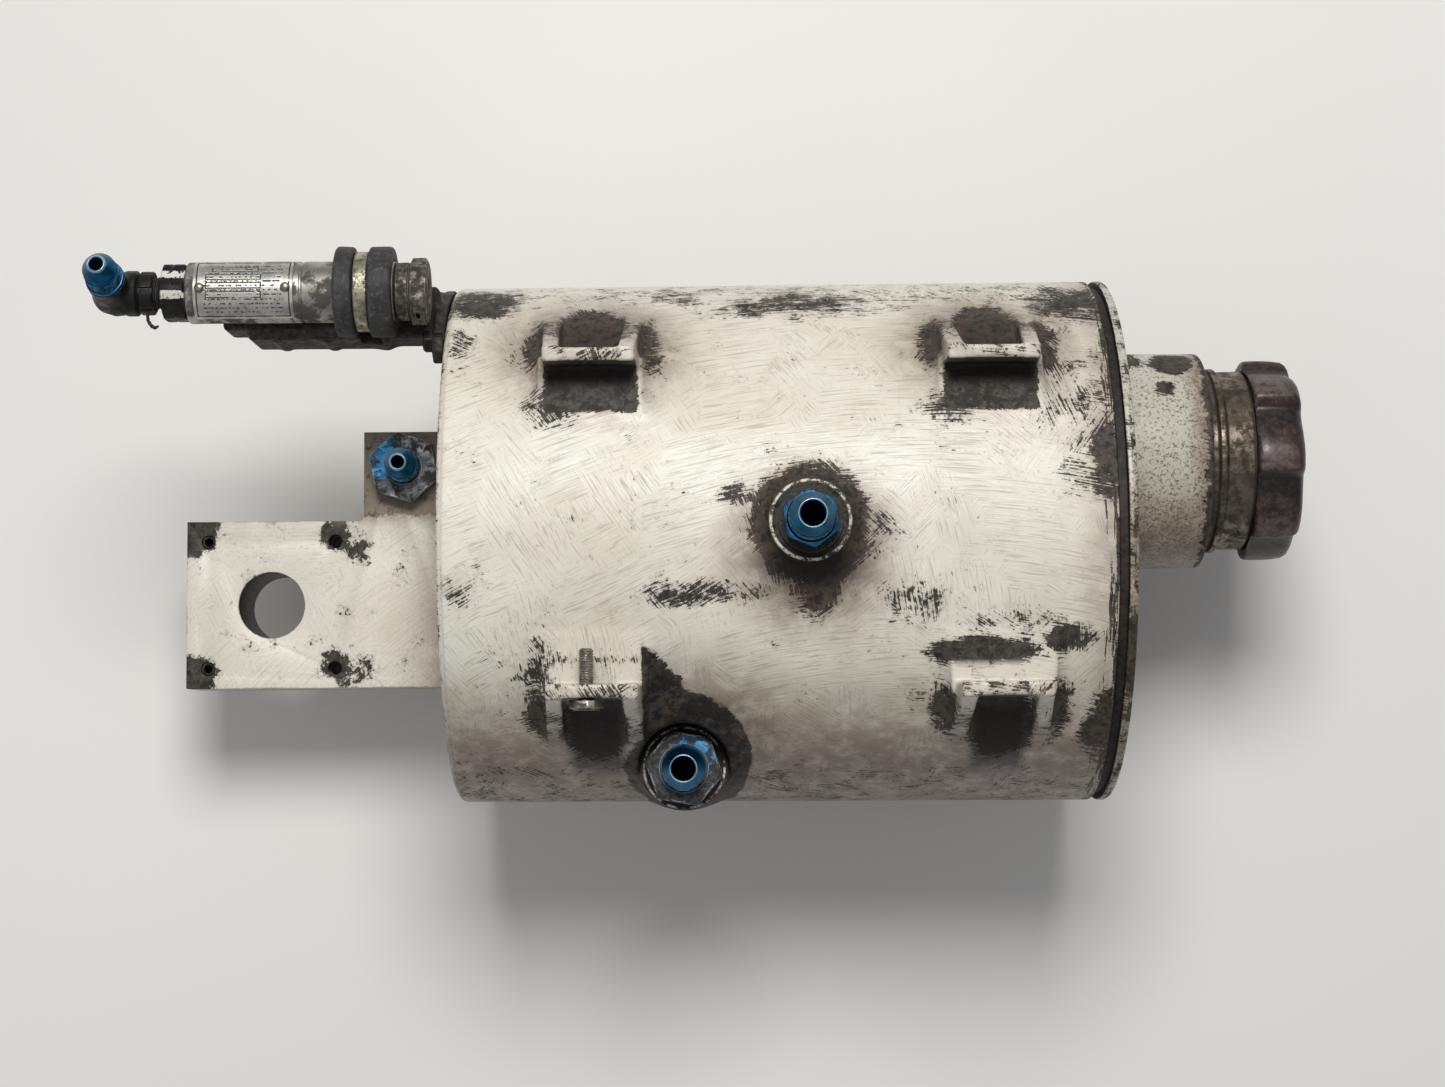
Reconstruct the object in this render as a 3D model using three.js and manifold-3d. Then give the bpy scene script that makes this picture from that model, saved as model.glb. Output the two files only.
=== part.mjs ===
// Hydraulic fluid reservoir of the airframe kind: a cast tank lying on its back, four mounting lugs
// on top, a machined port block and a relief valve at one end, a filler neck and cap at the other.
// Millimetres. The design frame has X along the tank axis, 0 at the tank's blank end and growing
// towards the filler; Y across; Z up. Its origin lies on the tank axis. The last lines shift the
// whole group so that the origin sits at the middle of the flat base pad.

import * as THREE from 'three';
import { mergeVertices } from 'three/addons/utils/BufferGeometryUtils.js';
import Module from 'manifold-3d';

const wasm = await Module();
wasm.setup();

// ---------------------------------------------------------------- driving dimensions
const GAP = 0.3;                  // left between pieces that touch
const RING_SIDES = 40;            // facets round the tank
const MID_SIDES = 24;             // facets round the neck and the collar
const SMALL_SIDES = 12;           // facets round fittings and bosses
const TORUS_SIDES = 6;            // facets round the section of a seal

const TANK = { blankR: 87.2, openR: 88.0, length: 211.6, wall: 4.2, head: 6, corner: 3 };
const COVER = { inner: 211.9, rimStart: 214.7, outer: 217.7, rimR: 88.1, grooveR: 85.4, spigotR: 83.4,
  spigotStart: 203, plate: 6 };
const PAD = { x0: 50, x1: 168, halfY: 32, bottom: -91, top: -60, chamfer: 2 };
const DRAIN = { x: 148, y: 0, bossR: 14, bossTop: -72, headR: 9, headPocketR: 10.5, shankR: 7,
  headTop: -85, headBottom: -90.2 };

const LUG = { halfX: 14, plateIn: 50, plateOut: 54.3, top: 93, floor: 79, floorIn: 35, foot: 70.4,
  footZ: 52, pocketHalf: 8.8, baseHalf: 16.5, holeR: 2.55, holeZ: 86.3 };
const LUG_PLACES = [
  { name: 'lug_upper_left', x: 47.8, holeX: 46.3, side: 1 },
  { name: 'lug_upper_right', x: 173.3, holeX: 173.3, side: 1 },
  { name: 'lug_lower_left', x: 48.5, holeX: 46.6, side: -1 },
  { name: 'lug_lower_right', x: 176.2, holeX: 173.6, side: -1 },
];
const BOLT = { shankR: 2.35, headAcross: 9.5, headHeight: 3.2, proud: 11.3 };

const AN6 = { threadR: 7.14, boreR: 3.75 };
const AN4 = { threadR: 5.56, boreR: 2.2 };
const NIPPLE = { nose: 5.2, neck: 0.86, tipWall: 1.5 };   // nose length, neck as a share of the thread
const CENTRE_PORT = { x: 116, y: 0, face: 93, faceR: 12.6, skirtR: 19.5, skirtZ: 85, hexAcross: 15.9,
  hexHeight: 6.5, hexTurn: 8, tip: 117, shankDepth: 11 };
const LOWER_PORT = { x: 76, y: -76, face: 44, faceR: 13, skirtR: 13.6, skirtZ: 40, bossBottom: 20,
  nutAcross: 22.2, nutHeight: 6.8, tip: 65, shankDepth: 12, recessR: 14.6, cupR: 18.5, cupBottom: 30 };
const BLOCK_PORT = { x: -22.2, y: 29, nutAcross: 22.2, nutHeight: 7, tip: 0, shankDepth: 14 };

const BLOCK = { x0: -99, y0: -47.6, y1: 10.9, tabX: -37, tabY: 42.2, top: -25, bottom: -56.7,
  bore: { x: -69.2, y: -18.5, r: 11.6 }, boltSquare: 44.45, tappedR: 2.4, tappedDepth: 14 };
const INSERT = { outerR: 2.1, innerR: 1.55, length: 9 };

const VALVE = { y: 77, z: 62, bodyR: 9.8, boreR: 6.6, x0: -81.2, x1: -15.1, portX: -45, portR: 3 };
const NAMEPLATE = { x0: -78.3, x1: -46.8, thickness: 0.5, halfAngle: 62, screwX: [-76.2, -49],
  holeR: 0.95 };
const ADAPTER = { x0: -89.2, hexAcross: 17.5, threadR: 5.2, threadEnd: -98.6, plugR: 6.3, plugEnd: -73 };
const LOCKNUT = { x0: -96.6, x1: -92.2, r: 7 };
const ELBOW = { x: -105.5, r: 5.9, armR: 7.1, kneeR: 6.9, clock: 11.5, socketEnd: -97.2, reach: 26 };
const END_CAP = { x0: -14.8, x1: -4.5, across: 19.4, plugEnd: -27, plugR: 6.3 };
const WIRE_BENDS = [[0, 0, 0], [0.6, -2, 0.6], [1.8, -4, 0.4], [3.4, -5.2, 0], [4.6, -5.6, 0.6]];
const WIRE_R = 0.5;
const CLAMP = { innerR: 10.1, ribR: 14.5, webR: 11.2, bandIn: 11.5, bandOut: 12.8,
  ribs: [[-33.8, -27.9], [-22.9, -15.4]], band: [-27.6, -23.2], earDrop: 9, earGap: 2.4, earWall: 1.3 };
const ARM = { y0: 64, y1: 85, z0: 20, z1: 51.6, full: [-65, -21], tipX: -73, tipZ: 40,
  slimY0: 66, slimZ1: 46, passageY: 70, passageZ: 35, flangeX: -4.2 };
// The arm's flange on the tank's head, as [y, z] corners from its upper ear round to the ear's tail.
const ARM_FLANGE = [[56, 47], [60.5, 44], [64, 26], [71, 7], [80, 7], [85.4, 14], [81.6, 30], [76, 43],
  [70, 50], [65, 57], [58, 58], [55, 53]];
const SCREW_R = 2.1;
const ARM_SCREWS = [{ y: 62.4, z: 53 }, { y: 76, z: 13 }];

const NECK = { y: 27, r: 36.5, bore: 27.5, end: 251, blend: 3 };
const COLLAR = { r: 30.5, beadR: 31.7, x0: 251.3, x1: 268.3, spigotR: 27.2, spigotStart: 239,
  ledgeX: 243, ledgeR: 22.6, bore: 24.6, registerR: 29.2, registerX: 265.6 };
const STRAINER = { flangeR: 24.2, r: 21.6, wall: 1, closed: 186, flange: 1.6, rows: 4, perRow: 4,
  holeR: 3.8, firstRow: 8, rowPitch: 11 };
const CAP = { plugR: 24.1, plugStart: 255, gasketOut: 28.8, gasketX: 268.6, gasketEnd: 270,
  flangeR: 28.8, flangeEnd: 272, stemR: 4, runClear: 0.09, barX: 249, barThick: 3, barHalf: 20, barWide: 8 };
const KNOB = { skirtStart: 266.2, skirtR: 29.8, start: 272.3, end: 282.8, lobeR: 34, valleyR: 32, lobes: 8,
  phase: -4, recessR: 9, recessDepth: 5.2, nutAcross: 13 };

const STANDPIPE = { r: 5, bore: 3.8, bottom: -70 };
const BAFFLE = { x: 150, thickness: 1.6, holes: 6, holeR: 13, ringR: 52 };
const POPPET = { seatX: -46, seatR: 6.3, seatBore: 3.2, headR: 4.6, stemR: 2 };
const SPRING = { r: 3.6, wireR: 0.6, turns: 5 };

// ---------------------------------------------------------------- materials
const finish = (color, roughness, metalness) =>
  new THREE.MeshStandardMaterial({ color, roughness, metalness });
const ENAMEL = finish(0xe2ded2, 0.5, 0);
const DARK_CASTING = finish(0x2e2a28, 0.7, 0.4);
const BLUE_ANODISE = finish(0x0f4b73, 0.3, 0.8);
const WORN_STEEL = finish(0x8f918f, 0.45, 0.9);
const BLACK_FINISH = finish(0x1e1d1d, 0.5, 0.6);
const VALVE_METAL = finish(0xaaa79f, 0.45, 0.85);
const PLATE_METAL = finish(0xbcbab4, 0.4, 0.9);
const RUBBER = finish(0x3c3a3b, 0.85, 0);
const BAND_METAL = finish(0xb4ad96, 0.5, 0.8);
const COLLAR_METAL = finish(0x857b6e, 0.5, 0.8);
const KNOB_PLASTIC = finish(0x4b3a3a, 0.55, 0);
const SEAL_RUBBER = finish(0x191919, 0.8, 0);
const BRASS = finish(0xa9863f, 0.4, 0.9);
const SPRING_STEEL = finish(0x9a9a9a, 0.35, 0.95);

// ---------------------------------------------------------------- solids and meshes
function cleanIndex(position, index) {
  const kept = [];
  for (let i = 0; i < index.length; i += 3) {
    const [a, b, c] = [index[i], index[i + 1], index[i + 2]];
    if (a !== b && b !== c && a !== c) kept.push(a, b, c);
  }
  return Uint32Array.from(volumeOf(position, kept) < 0 ? kept.reverse() : kept);
}

function volumeOf(position, index) {
  const [a, b, c] = [new THREE.Vector3(), new THREE.Vector3(), new THREE.Vector3()];
  let total = 0;
  for (let i = 0; i < index.length; i += 3) {
    a.fromArray(position, index[i] * 3);
    b.fromArray(position, index[i + 1] * 3);
    c.fromArray(position, index[i + 2] * 3);
    total += a.dot(b.cross(c)) / 6;
  }
  return total;
}

function solid(geometry) {
  const bare = geometry.clone();
  bare.deleteAttribute('normal');
  bare.deleteAttribute('uv');
  const merged = mergeVertices(bare, 1e-3);
  const vertProperties = Float32Array.from(merged.attributes.position.array);
  const triVerts = cleanIndex(vertProperties, merged.index.array);
  return new wasm.Manifold(new wasm.Mesh({ numProp: 3, vertProperties, triVerts }));
}

function piece(name, body, material) {
  const { vertProperties, triVerts } = body.getMesh();
  const geometry = new THREE.BufferGeometry();
  geometry.setAttribute('position', new THREE.BufferAttribute(Float32Array.from(vertProperties), 3));
  geometry.setIndex(new THREE.BufferAttribute(Uint32Array.from(triVerts), 1));
  geometry.computeVertexNormals();
  const mesh = new THREE.Mesh(geometry, material);
  mesh.name = name;
  return mesh;
}

const join = (first, ...others) => others.reduce((sum, next) => sum.add(next), first);
const cut = (first, ...others) => others.reduce((rest, next) => rest.subtract(next), first);

// A turned solid. Its profile is a list of [station along the axis, radius].
function turned(axis, profile, sides, place = [0, 0, 0]) {
  const points = profile.map(([station, radius]) => new THREE.Vector2(radius, station));
  const geometry = new THREE.LatheGeometry(points, sides);
  if (axis === 'x') geometry.rotateZ(-Math.PI / 2);
  if (axis === 'z') geometry.rotateX(Math.PI / 2);
  return solid(geometry.translate(...place));
}

const rod = (axis, r, from, to, sides, place) =>
  turned(axis, [[from, 0], [from, r], [to, r], [to, 0]], sides, place);

const ring = (axis, inner, outer, from, to, sides, place) =>
  turned(axis, [[from, inner], [from, outer], [to, outer], [to, inner], [from, inner]], sides, place);

// A ring of round section: centre radius, section radius and station along the axis.
function torus(axis, ringR, sectionR, station, sides, place) {
  const profile = [];
  for (let i = 0; i <= TORUS_SIDES; i += 1) {
    const a = (i / TORUS_SIDES) * 2 * Math.PI;
    profile.push([station + sectionR * Math.sin(a), ringR + sectionR * Math.cos(a)]);
  }
  return turned(axis, profile, sides, place);
}

// A hexagonal prism with its flats chamfered to a circle at the far end.
function hexBar(axis, across, from, to, place, turn = 0) {
  const corner = across / Math.sqrt(3);
  const geometry = new THREE.CylinderGeometry(corner, corner, to - from, 6).translate(0, (from + to) / 2, 0);
  geometry.rotateY(THREE.MathUtils.degToRad(turn));
  if (axis === 'x') geometry.rotateZ(-Math.PI / 2);
  if (axis === 'z') geometry.rotateX(Math.PI / 2);
  const chamfer = 0.28 * (corner - across / 2) + 0.5;
  const r = across / 2;
  const profile = [[from, 0], [from, r], [from + chamfer, corner + 0.2], [to - chamfer, corner + 0.2],
    [to, r], [to, 0]];
  return solid(geometry.translate(...place)).intersect(turned(axis, profile, SMALL_SIDES, place));
}

function box(x0, y0, z0, x1, y1, z1) {
  const geometry = new THREE.BoxGeometry(x1 - x0, y1 - y0, z1 - z0);
  return solid(geometry.translate((x0 + x1) / 2, (y0 + y1) / 2, (z0 + z1) / 2));
}

// A flat outline in Y and Z, given as [y, z] points, extruded along X.
function alongX(points, x0, x1) {
  const shape = new THREE.Shape(points.map(([y, z]) => new THREE.Vector2(y, z)));
  const geometry = new THREE.ExtrudeGeometry(shape, { depth: x1 - x0, bevelEnabled: false });
  geometry.rotateX(Math.PI / 2).rotateZ(Math.PI / 2);
  return solid(geometry.translate(x0, 0, 0));
}

// A flat outline in X and Y, extruded along Z.
function alongZ(shape, z0, z1) {
  const settings = { depth: z1 - z0, bevelEnabled: false, curveSegments: 4 };
  return solid(new THREE.ExtrudeGeometry(shape, settings).translate(0, 0, z0));
}

// ---------------------------------------------------------------- tank
const tankR = (x) => TANK.blankR + (TANK.openR - TANK.blankR) * (x / TANK.length);

function tankOuter(grow = 0) {
  const { corner, length } = TANK;
  const blankR = TANK.blankR + grow;
  const openR = TANK.openR + grow;
  const profile = [[0, 0], [0, blankR - corner]];
  for (let i = 1; i <= 4; i += 1) {
    const a = (i / 4) * (Math.PI / 2);
    profile.push([corner * (1 - Math.cos(a)), blankR - corner + corner * Math.sin(a)]);
  }
  profile.push([length, openR], [length, 0]);
  return turned('x', profile, RING_SIDES);
}

function tankCavity() {
  const { head, length, wall } = TANK;
  const profile = [[head, 0], [head, tankR(head) - wall - 4], [head + 4, tankR(head) - wall],
    [length + 1, tankR(length) - wall], [length + 1, 0]];
  return turned('x', profile, RING_SIDES);
}

function lug({ x, holeX, side }) {
  const y = (value) => value * side;
  const profile = [[LUG.floorIn, LUG.floor], [LUG.plateIn, LUG.floor], [LUG.plateIn, LUG.top],
    [LUG.plateOut, LUG.top], [LUG.foot, LUG.footZ], [LUG.foot - 8, LUG.footZ - 8], [LUG.floorIn, LUG.footZ]];
  const base = [[LUG.floorIn, LUG.floor], [LUG.plateOut - 1, LUG.floor], [LUG.plateOut + 6, LUG.floor - 14],
    [LUG.floorIn, LUG.footZ]];
  const place = (points) => points.map(([a, b]) => [y(a), b]);
  const body = alongX(place(profile), x - LUG.halfX, x + LUG.halfX);
  const foot = alongX(place(base), x - LUG.baseHalf, x + LUG.baseHalf);
  const [near, far] = [y(LUG.plateOut), y(LUG.foot + 12)].sort((a, b) => a - b);
  const pocket = box(x - LUG.pocketHalf, near, LUG.footZ - 30, x + LUG.pocketHalf, far, LUG.top + 5);
  const hole = new THREE.CylinderGeometry(LUG.holeR, LUG.holeR, 12, SMALL_SIDES)
    .translate(holeX, y((LUG.plateIn + LUG.plateOut) / 2), LUG.holeZ);
  return cut(join(body, foot), pocket, solid(hole), tankOuter(GAP));
}

function portBoss(port, bottom) {
  const profile = [[bottom, 0], [bottom, port.skirtR], [port.skirtZ, port.skirtR],
    [port.face - 2.5, port.faceR + 1.4], [port.face - 0.8, port.faceR], [port.face, port.faceR - 0.6],
    [port.face, 0]];
  return turned('z', profile, MID_SIDES, [port.x, port.y, 0]);
}

function basePad() {
  const { x0, x1, halfY, bottom, top, chamfer } = PAD;
  const outline = [[-halfY, top], [-halfY, bottom + chamfer], [-halfY + chamfer, bottom],
    [halfY - chamfer, bottom], [halfY, bottom + chamfer], [halfY, top]];
  return alongX(outline, x0, x1);
}

function tankBody() {
  const outer = join(tankOuter(), portBoss(CENTRE_PORT, 70), portBoss(LOWER_PORT, LOWER_PORT.bossBottom),
    basePad());
  const hollow = cut(outer, tankCavity());
  const lowerPlace = [LOWER_PORT.x, LOWER_PORT.y, 0];
  const cup = rod('z', LOWER_PORT.cupR, LOWER_PORT.cupBottom, TANK.openR, MID_SIDES, lowerPlace)
    .intersect(tankOuter());
  const recess = rod('z', LOWER_PORT.recessR, LOWER_PORT.face, TANK.openR, MID_SIDES, lowerPlace);
  const drainBoss = rod('z', DRAIN.bossR, PAD.bottom + 1, DRAIN.bossTop, MID_SIDES, [DRAIN.x, DRAIN.y, 0]);
  const port = (p, depth) =>
    rod('z', AN6.threadR + GAP, p.face - depth, p.face + 5, SMALL_SIDES, [p.x, p.y, 0]);
  const drainPocket = rod('z', DRAIN.headPocketR, PAD.bottom - 1, DRAIN.headTop + GAP, SMALL_SIDES,
    [DRAIN.x, DRAIN.y, 0]);
  const drainHole = rod('z', DRAIN.shankR + GAP, PAD.bottom, DRAIN.bossTop + 1, SMALL_SIDES,
    [DRAIN.x, DRAIN.y, 0]);
  const reliefPassage = rod('x', VALVE.portR, -1, TANK.head + 5, 12, [0, ARM.passageY, ARM.passageZ]);
  const armHoles = ARM_SCREWS.map((s) => rod('x', SCREW_R + GAP, -1, 5, 12, [0, s.y, s.z]));
  const blockPassage = rod('x', 4, -1, TANK.head + 5, 12, [0, BLOCK_PORT.y, BLOCK.top - 16]);
  return cut(join(hollow, cup, drainBoss), recess, port(CENTRE_PORT, 20), port(LOWER_PORT, 17), drainPocket,
    drainHole, reliefPassage, ...armHoles, blockPassage);
}

function endCover() {
  const c = COVER;
  const disc = turned('x', [[c.spigotStart, 0], [c.spigotStart, c.spigotR], [c.inner, c.spigotR],
    [c.inner, c.grooveR], [c.rimStart, c.grooveR], [c.rimStart, c.rimR], [c.outer - 1.2, c.rimR],
    [c.outer, c.rimR - 1.8], [c.outer, 0]], RING_SIDES);
  const dish = rod('x', c.spigotR - 5, c.spigotStart - 1, c.outer - c.plate, RING_SIDES);
  const neckPlace = [0, NECK.y, 0];
  const neck = turned('x', [[c.outer - c.plate, 0], [c.outer - c.plate, NECK.r + NECK.blend],
    [c.outer, NECK.r + NECK.blend], [c.outer + NECK.blend * 0.3, NECK.r + NECK.blend * 0.35],
    [c.outer + NECK.blend, NECK.r], [NECK.end - 1, NECK.r], [NECK.end, NECK.r - 1], [NECK.end, 0]],
  MID_SIDES, neckPlace);
  const bore = rod('x', NECK.bore, c.spigotStart - 5, NECK.end + 1, MID_SIDES, neckPlace);
  const sealGroove = ring('x', c.spigotR - 2.2, c.spigotR + 2, 205.5, 208.9, RING_SIDES);
  return cut(join(cut(disc, dish), neck), bore, sealGroove);
}

const coverSeal = () => torus('x', COVER.spigotR - 0.9, 1.15, 207.2, RING_SIDES);

// ---------------------------------------------------------------- filler
function fillerCollar() {
  const c = COLLAR;
  const profile = [[c.spigotStart, c.ledgeR], [c.spigotStart, c.spigotR], [c.x0, c.spigotR],
    [c.x0, c.r - 0.4],
    [c.x0 + 0.6, c.r], [c.x0 + 2.2, c.r], [c.x0 + 3, c.beadR], [c.x0 + 5, c.beadR], [c.x0 + 5.8, c.r],
    [c.registerX, c.r], [c.registerX, c.registerR], [c.x1 - 0.6, c.registerR], [c.x1, c.registerR - 0.6],
    [c.x1, c.bore], [c.ledgeX, c.bore], [c.ledgeX, c.ledgeR], [c.spigotStart, c.ledgeR]];
  return turned('x', profile, MID_SIDES, [0, NECK.y, 0]);
}

function strainerBasket() {
  const s = STRAINER;
  const start = COLLAR.ledgeX + GAP;
  const profile = [[s.closed, 0], [s.closed, s.r], [start, s.r], [start, s.flangeR],
    [start + s.flange, s.flangeR], [start + s.flange, s.r - s.wall], [s.closed + s.wall, s.r - s.wall],
    [s.closed + s.wall, 0]];
  const basket = turned('x', profile, MID_SIDES, [0, NECK.y, 0]);
  const holes = [];
  for (let row = 0; row < s.rows; row += 1) {
    const x = s.closed + s.firstRow + row * s.rowPitch;
    for (let i = 0; i < s.perRow / 2; i += 1) {
      const turn = ((i + (row % 2) / 2) / s.perRow) * 2 * Math.PI;
      const hole = new THREE.CylinderGeometry(s.holeR, s.holeR, 2 * s.r + 4, 6);
      holes.push(solid(hole.rotateX(turn).translate(x, NECK.y, 0)));
    }
  }
  return cut(basket, ...holes);
}

function capPlug() {
  const c = CAP;
  const hole = c.stemR + c.runClear;
  const profile = [[c.plugStart, hole], [c.plugStart, c.plugR - 1], [c.plugStart + 1, c.plugR],
    [c.gasketX - 0.2, c.plugR], [c.gasketEnd + GAP, c.plugR], [c.gasketEnd + GAP, c.flangeR],
    [c.flangeEnd, c.flangeR], [c.flangeEnd, hole], [c.plugStart, hole]];
  return turned('x', profile, MID_SIDES, [0, NECK.y, 0]);
}

const capGasket = () =>
  ring('x', CAP.plugR + GAP, CAP.gasketOut, CAP.gasketX, CAP.gasketEnd, MID_SIDES, [0, NECK.y, 0]);

// The knob's outline: round lobes with hollow scallops between them.
function knobOutline() {
  const points = [];
  const steps = 8;
  for (let i = 0; i < KNOB.lobes * steps; i += 1) {
    const turn = (i / (KNOB.lobes * steps)) * 2 * Math.PI;
    const swell = Math.pow(0.5 + 0.5 * Math.cos(KNOB.lobes * turn), 0.8);
    const r = KNOB.valleyR + (KNOB.lobeR - KNOB.valleyR) * swell;
    const clock = turn + THREE.MathUtils.degToRad(KNOB.phase);
    points.push([r * Math.sin(clock) + NECK.y, r * Math.cos(clock)]);
  }
  return points;
}

// The knob: lobed rim, a skirt that hangs over the collar's end and a pocket for the nut.
function fillerKnob() {
  const k = KNOB;
  const place = [0, NECK.y, 0];
  const body = alongX(knobOutline(), k.skirtStart, k.end);
  const rounding = turned('x', [[k.skirtStart, 0], [k.skirtStart, k.lobeR - 1.2],
    [k.skirtStart + 1.2, k.lobeR + 0.1], [k.end - 2.6, k.lobeR + 0.1], [k.end, k.lobeR - 3], [k.end, 0]],
  MID_SIDES, place);
  const skirt = rod('x', k.skirtR, k.skirtStart - 1, k.start, MID_SIDES, place);
  const recess = rod('x', k.recessR, k.end - k.recessDepth, k.end + 1, SMALL_SIDES, place);
  const stemHole = rod('x', CAP.stemR + GAP, k.start - 1, k.end, SMALL_SIDES, place);
  return cut(body.intersect(rounding), skirt, recess, stemHole);
}

function capStem() {
  const c = CAP;
  const half = c.barWide / 2;
  const stem = rod('x', c.stemR, c.barX, KNOB.end - 1.6, MID_SIDES, [0, NECK.y, 0]);
  const bar = box(c.barX, NECK.y - half, -c.barHalf, c.barX + c.barThick, NECK.y + half, c.barHalf);
  return join(stem, bar);
}

function capNut() {
  const place = [0, NECK.y, 0];
  const nut = hexBar('x', KNOB.nutAcross, KNOB.end - 4.9, KNOB.end - 0.6, place);
  return cut(nut, rod('x', CAP.stemR + GAP, KNOB.end - 6, KNOB.end, SMALL_SIDES, place));
}

// ---------------------------------------------------------------- ports
// The end of a flared-tube nipple: thread, neck groove and tapered nose round the bore's mouth.
function nippleEnd(size, tip) {
  const nose = tip - NIPPLE.nose;
  const neck = size.threadR * NIPPLE.neck;
  return [[nose - 2.4, size.threadR], [nose - 1.9, neck], [nose - 0.6, neck], [nose, size.threadR * 0.98],
    [tip, size.boreR + NIPPLE.tipWall], [tip, size.boreR]];
}

// A nipple's root: the bored shank below the face of its boss, up to the thread's full size.
const nippleRoot = (size, start) =>
  [[start, size.boreR], [start, size.threadR - 0.5], [start + 0.8, size.threadR]];

function centreFitting() {
  const p = CENTRE_PORT;
  const place = [p.x, p.y, 0];
  const start = p.face + 0.9 - p.shankDepth;
  const profile = [...nippleRoot(AN6, start), ...nippleEnd(AN6, p.tip), [start, AN6.boreR]];
  const hex = hexBar('z', p.hexAcross, p.face + 1.2, p.face + 1.2 + p.hexHeight, place, p.hexTurn);
  const bore = rod('z', AN6.boreR, start - 1, p.tip + 1, SMALL_SIDES, place);
  return cut(join(turned('z', profile, SMALL_SIDES, place), hex), bore);
}

const centreSeal = () => {
  const { x, y, face, faceR } = CENTRE_PORT;
  return ring('z', AN6.threadR + GAP, faceR - 2.4, face + GAP, face + 0.9, SMALL_SIDES, [x, y, 0]);
};

function portNut(port, face, threadR, turn) {
  const place = [port.x, port.y, 0];
  const hex = hexBar('z', port.nutAcross, face + 1.1, face + 1.1 + port.nutHeight, place, turn);
  return cut(hex, rod('z', threadR + GAP, face, face + port.nutHeight + 2, SMALL_SIDES, place));
}

const portSeal = (port, face, threadR) =>
  ring('z', threadR + GAP, port.nutAcross / 2 - 1, face + GAP, face + 0.8, SMALL_SIDES, [port.x, port.y, 0]);

function plainNipple(size, port, face) {
  const start = face - port.shankDepth;
  const profile = [...nippleRoot(size, start), ...nippleEnd(size, port.tip), [start, size.boreR]];
  return turned('z', profile, SMALL_SIDES, [port.x, port.y, 0]);
}

// ---------------------------------------------------------------- port block
function portBlock() {
  const b = BLOCK;
  const shape = new THREE.Shape();
  shape.moveTo(b.x0, b.y0);
  shape.lineTo(-GAP, b.y0);
  shape.lineTo(-GAP, b.tabY);
  shape.lineTo(b.tabX, b.tabY);
  shape.lineTo(b.tabX, b.y1 + 2);
  shape.absarc(b.tabX - 2, b.y1 + 2, 2, 0, -Math.PI / 2, true);
  shape.lineTo(b.x0, b.y1);
  shape.closePath();
  const slab = alongZ(shape, b.bottom, b.top);
  const bore = rod('z', b.bore.r, b.bottom - 1, b.top + 1, MID_SIDES, [b.bore.x, b.bore.y, 0]);
  const tapped = squareHoles()
    .map(([x, y]) => rod('z', b.tappedR, b.top - b.tappedDepth, b.top + 1, 16, [x, y, 0]));
  const port = rod('z', AN4.threadR + GAP, b.top - 22, b.top + 1, SMALL_SIDES,
    [BLOCK_PORT.x, BLOCK_PORT.y, 0]);
  const passage = rod('x', 4, BLOCK_PORT.x, 1, 12, [0, BLOCK_PORT.y, b.top - 16]);
  return cut(slab, bore, ...tapped, port, passage);
}

function squareHoles() {
  const { bore, boltSquare } = BLOCK;
  const h = boltSquare / 2;
  return [[-h, -h], [-h, h], [h, -h], [h, h]].map(([x, y]) => [bore.x + x, bore.y + y]);
}

const threadInsert = ([x, y]) =>
  ring('z', INSERT.innerR, INSERT.outerR, BLOCK.top - INSERT.length, BLOCK.top - 0.4, 16, [x, y, 0]);

function lugBolt() {
  const { side, holeX } = LUG_PLACES[2];
  const end = side * LUG.plateIn - side * BOLT.proud;
  const headFace = side * (LUG.plateOut + GAP);
  const shank = new THREE.CylinderGeometry(BOLT.shankR, BOLT.shankR, end - headFace, SMALL_SIDES)
    .translate(holeX, (end + headFace) / 2, LUG.holeZ);
  const corner = BOLT.headAcross / Math.sqrt(3);
  const head = new THREE.CylinderGeometry(corner, corner, BOLT.headHeight, 6)
    .translate(holeX, headFace - BOLT.headHeight / 2, LUG.holeZ);
  return join(solid(shank), solid(head));
}

// ---------------------------------------------------------------- relief valve
const VALVE_AXIS = [0, VALVE.y, VALVE.z];

function valveBody() {
  const v = VALVE;
  const tube = turned('x', [[v.x0, v.boreR], [v.x0, v.bodyR - 0.6], [v.x0 + 0.6, v.bodyR],
    [v.x1 - 0.6, v.bodyR], [v.x1, v.bodyR - 0.6], [v.x1, v.boreR], [v.x0, v.boreR]], MID_SIDES, VALVE_AXIS);
  const port = rod('z', v.portR, v.z - v.bodyR - 2, v.z - 4, 16, [v.portX + 8, v.y, 0]);
  return cut(tube, port, ...plateHoles());
}

const plateHoles = () => {
  const { y, z, bodyR } = VALVE;
  return NAMEPLATE.screwX.map((x) => rod('z', NAMEPLATE.holeR, z + 4, z + bodyR + 2, 12, [x, y, 0]));
};

function nameplate() {
  const n = NAMEPLATE;
  const inner = VALVE.bodyR + GAP;
  const outline = [];
  const steps = 16;
  for (const [r, direction] of [[inner, 1], [inner + n.thickness, -1]]) {
    for (let i = 0; i <= steps; i += 1) {
      const a = THREE.MathUtils.degToRad(n.halfAngle * direction * ((2 * i) / steps - 1));
      outline.push([VALVE.y + r * Math.sin(a), VALVE.z + r * Math.cos(a)]);
    }
  }
  return cut(alongX(outline, n.x0, n.x1), ...plateHoles());
}

function driveScrew(x) {
  const seat = VALVE.z + VALVE.bodyR + GAP + NAMEPLATE.thickness + GAP;
  const profile = [[seat - 3.4, 0], [seat - 3.4, 0.6], [seat, 0.6], [seat, 1.5], [seat + 0.5, 1.4],
    [seat + 0.9, 0.9], [seat + 1.05, 0]];
  return turned('z', profile, 12, [x, VALVE.y, 0]);
}

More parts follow.
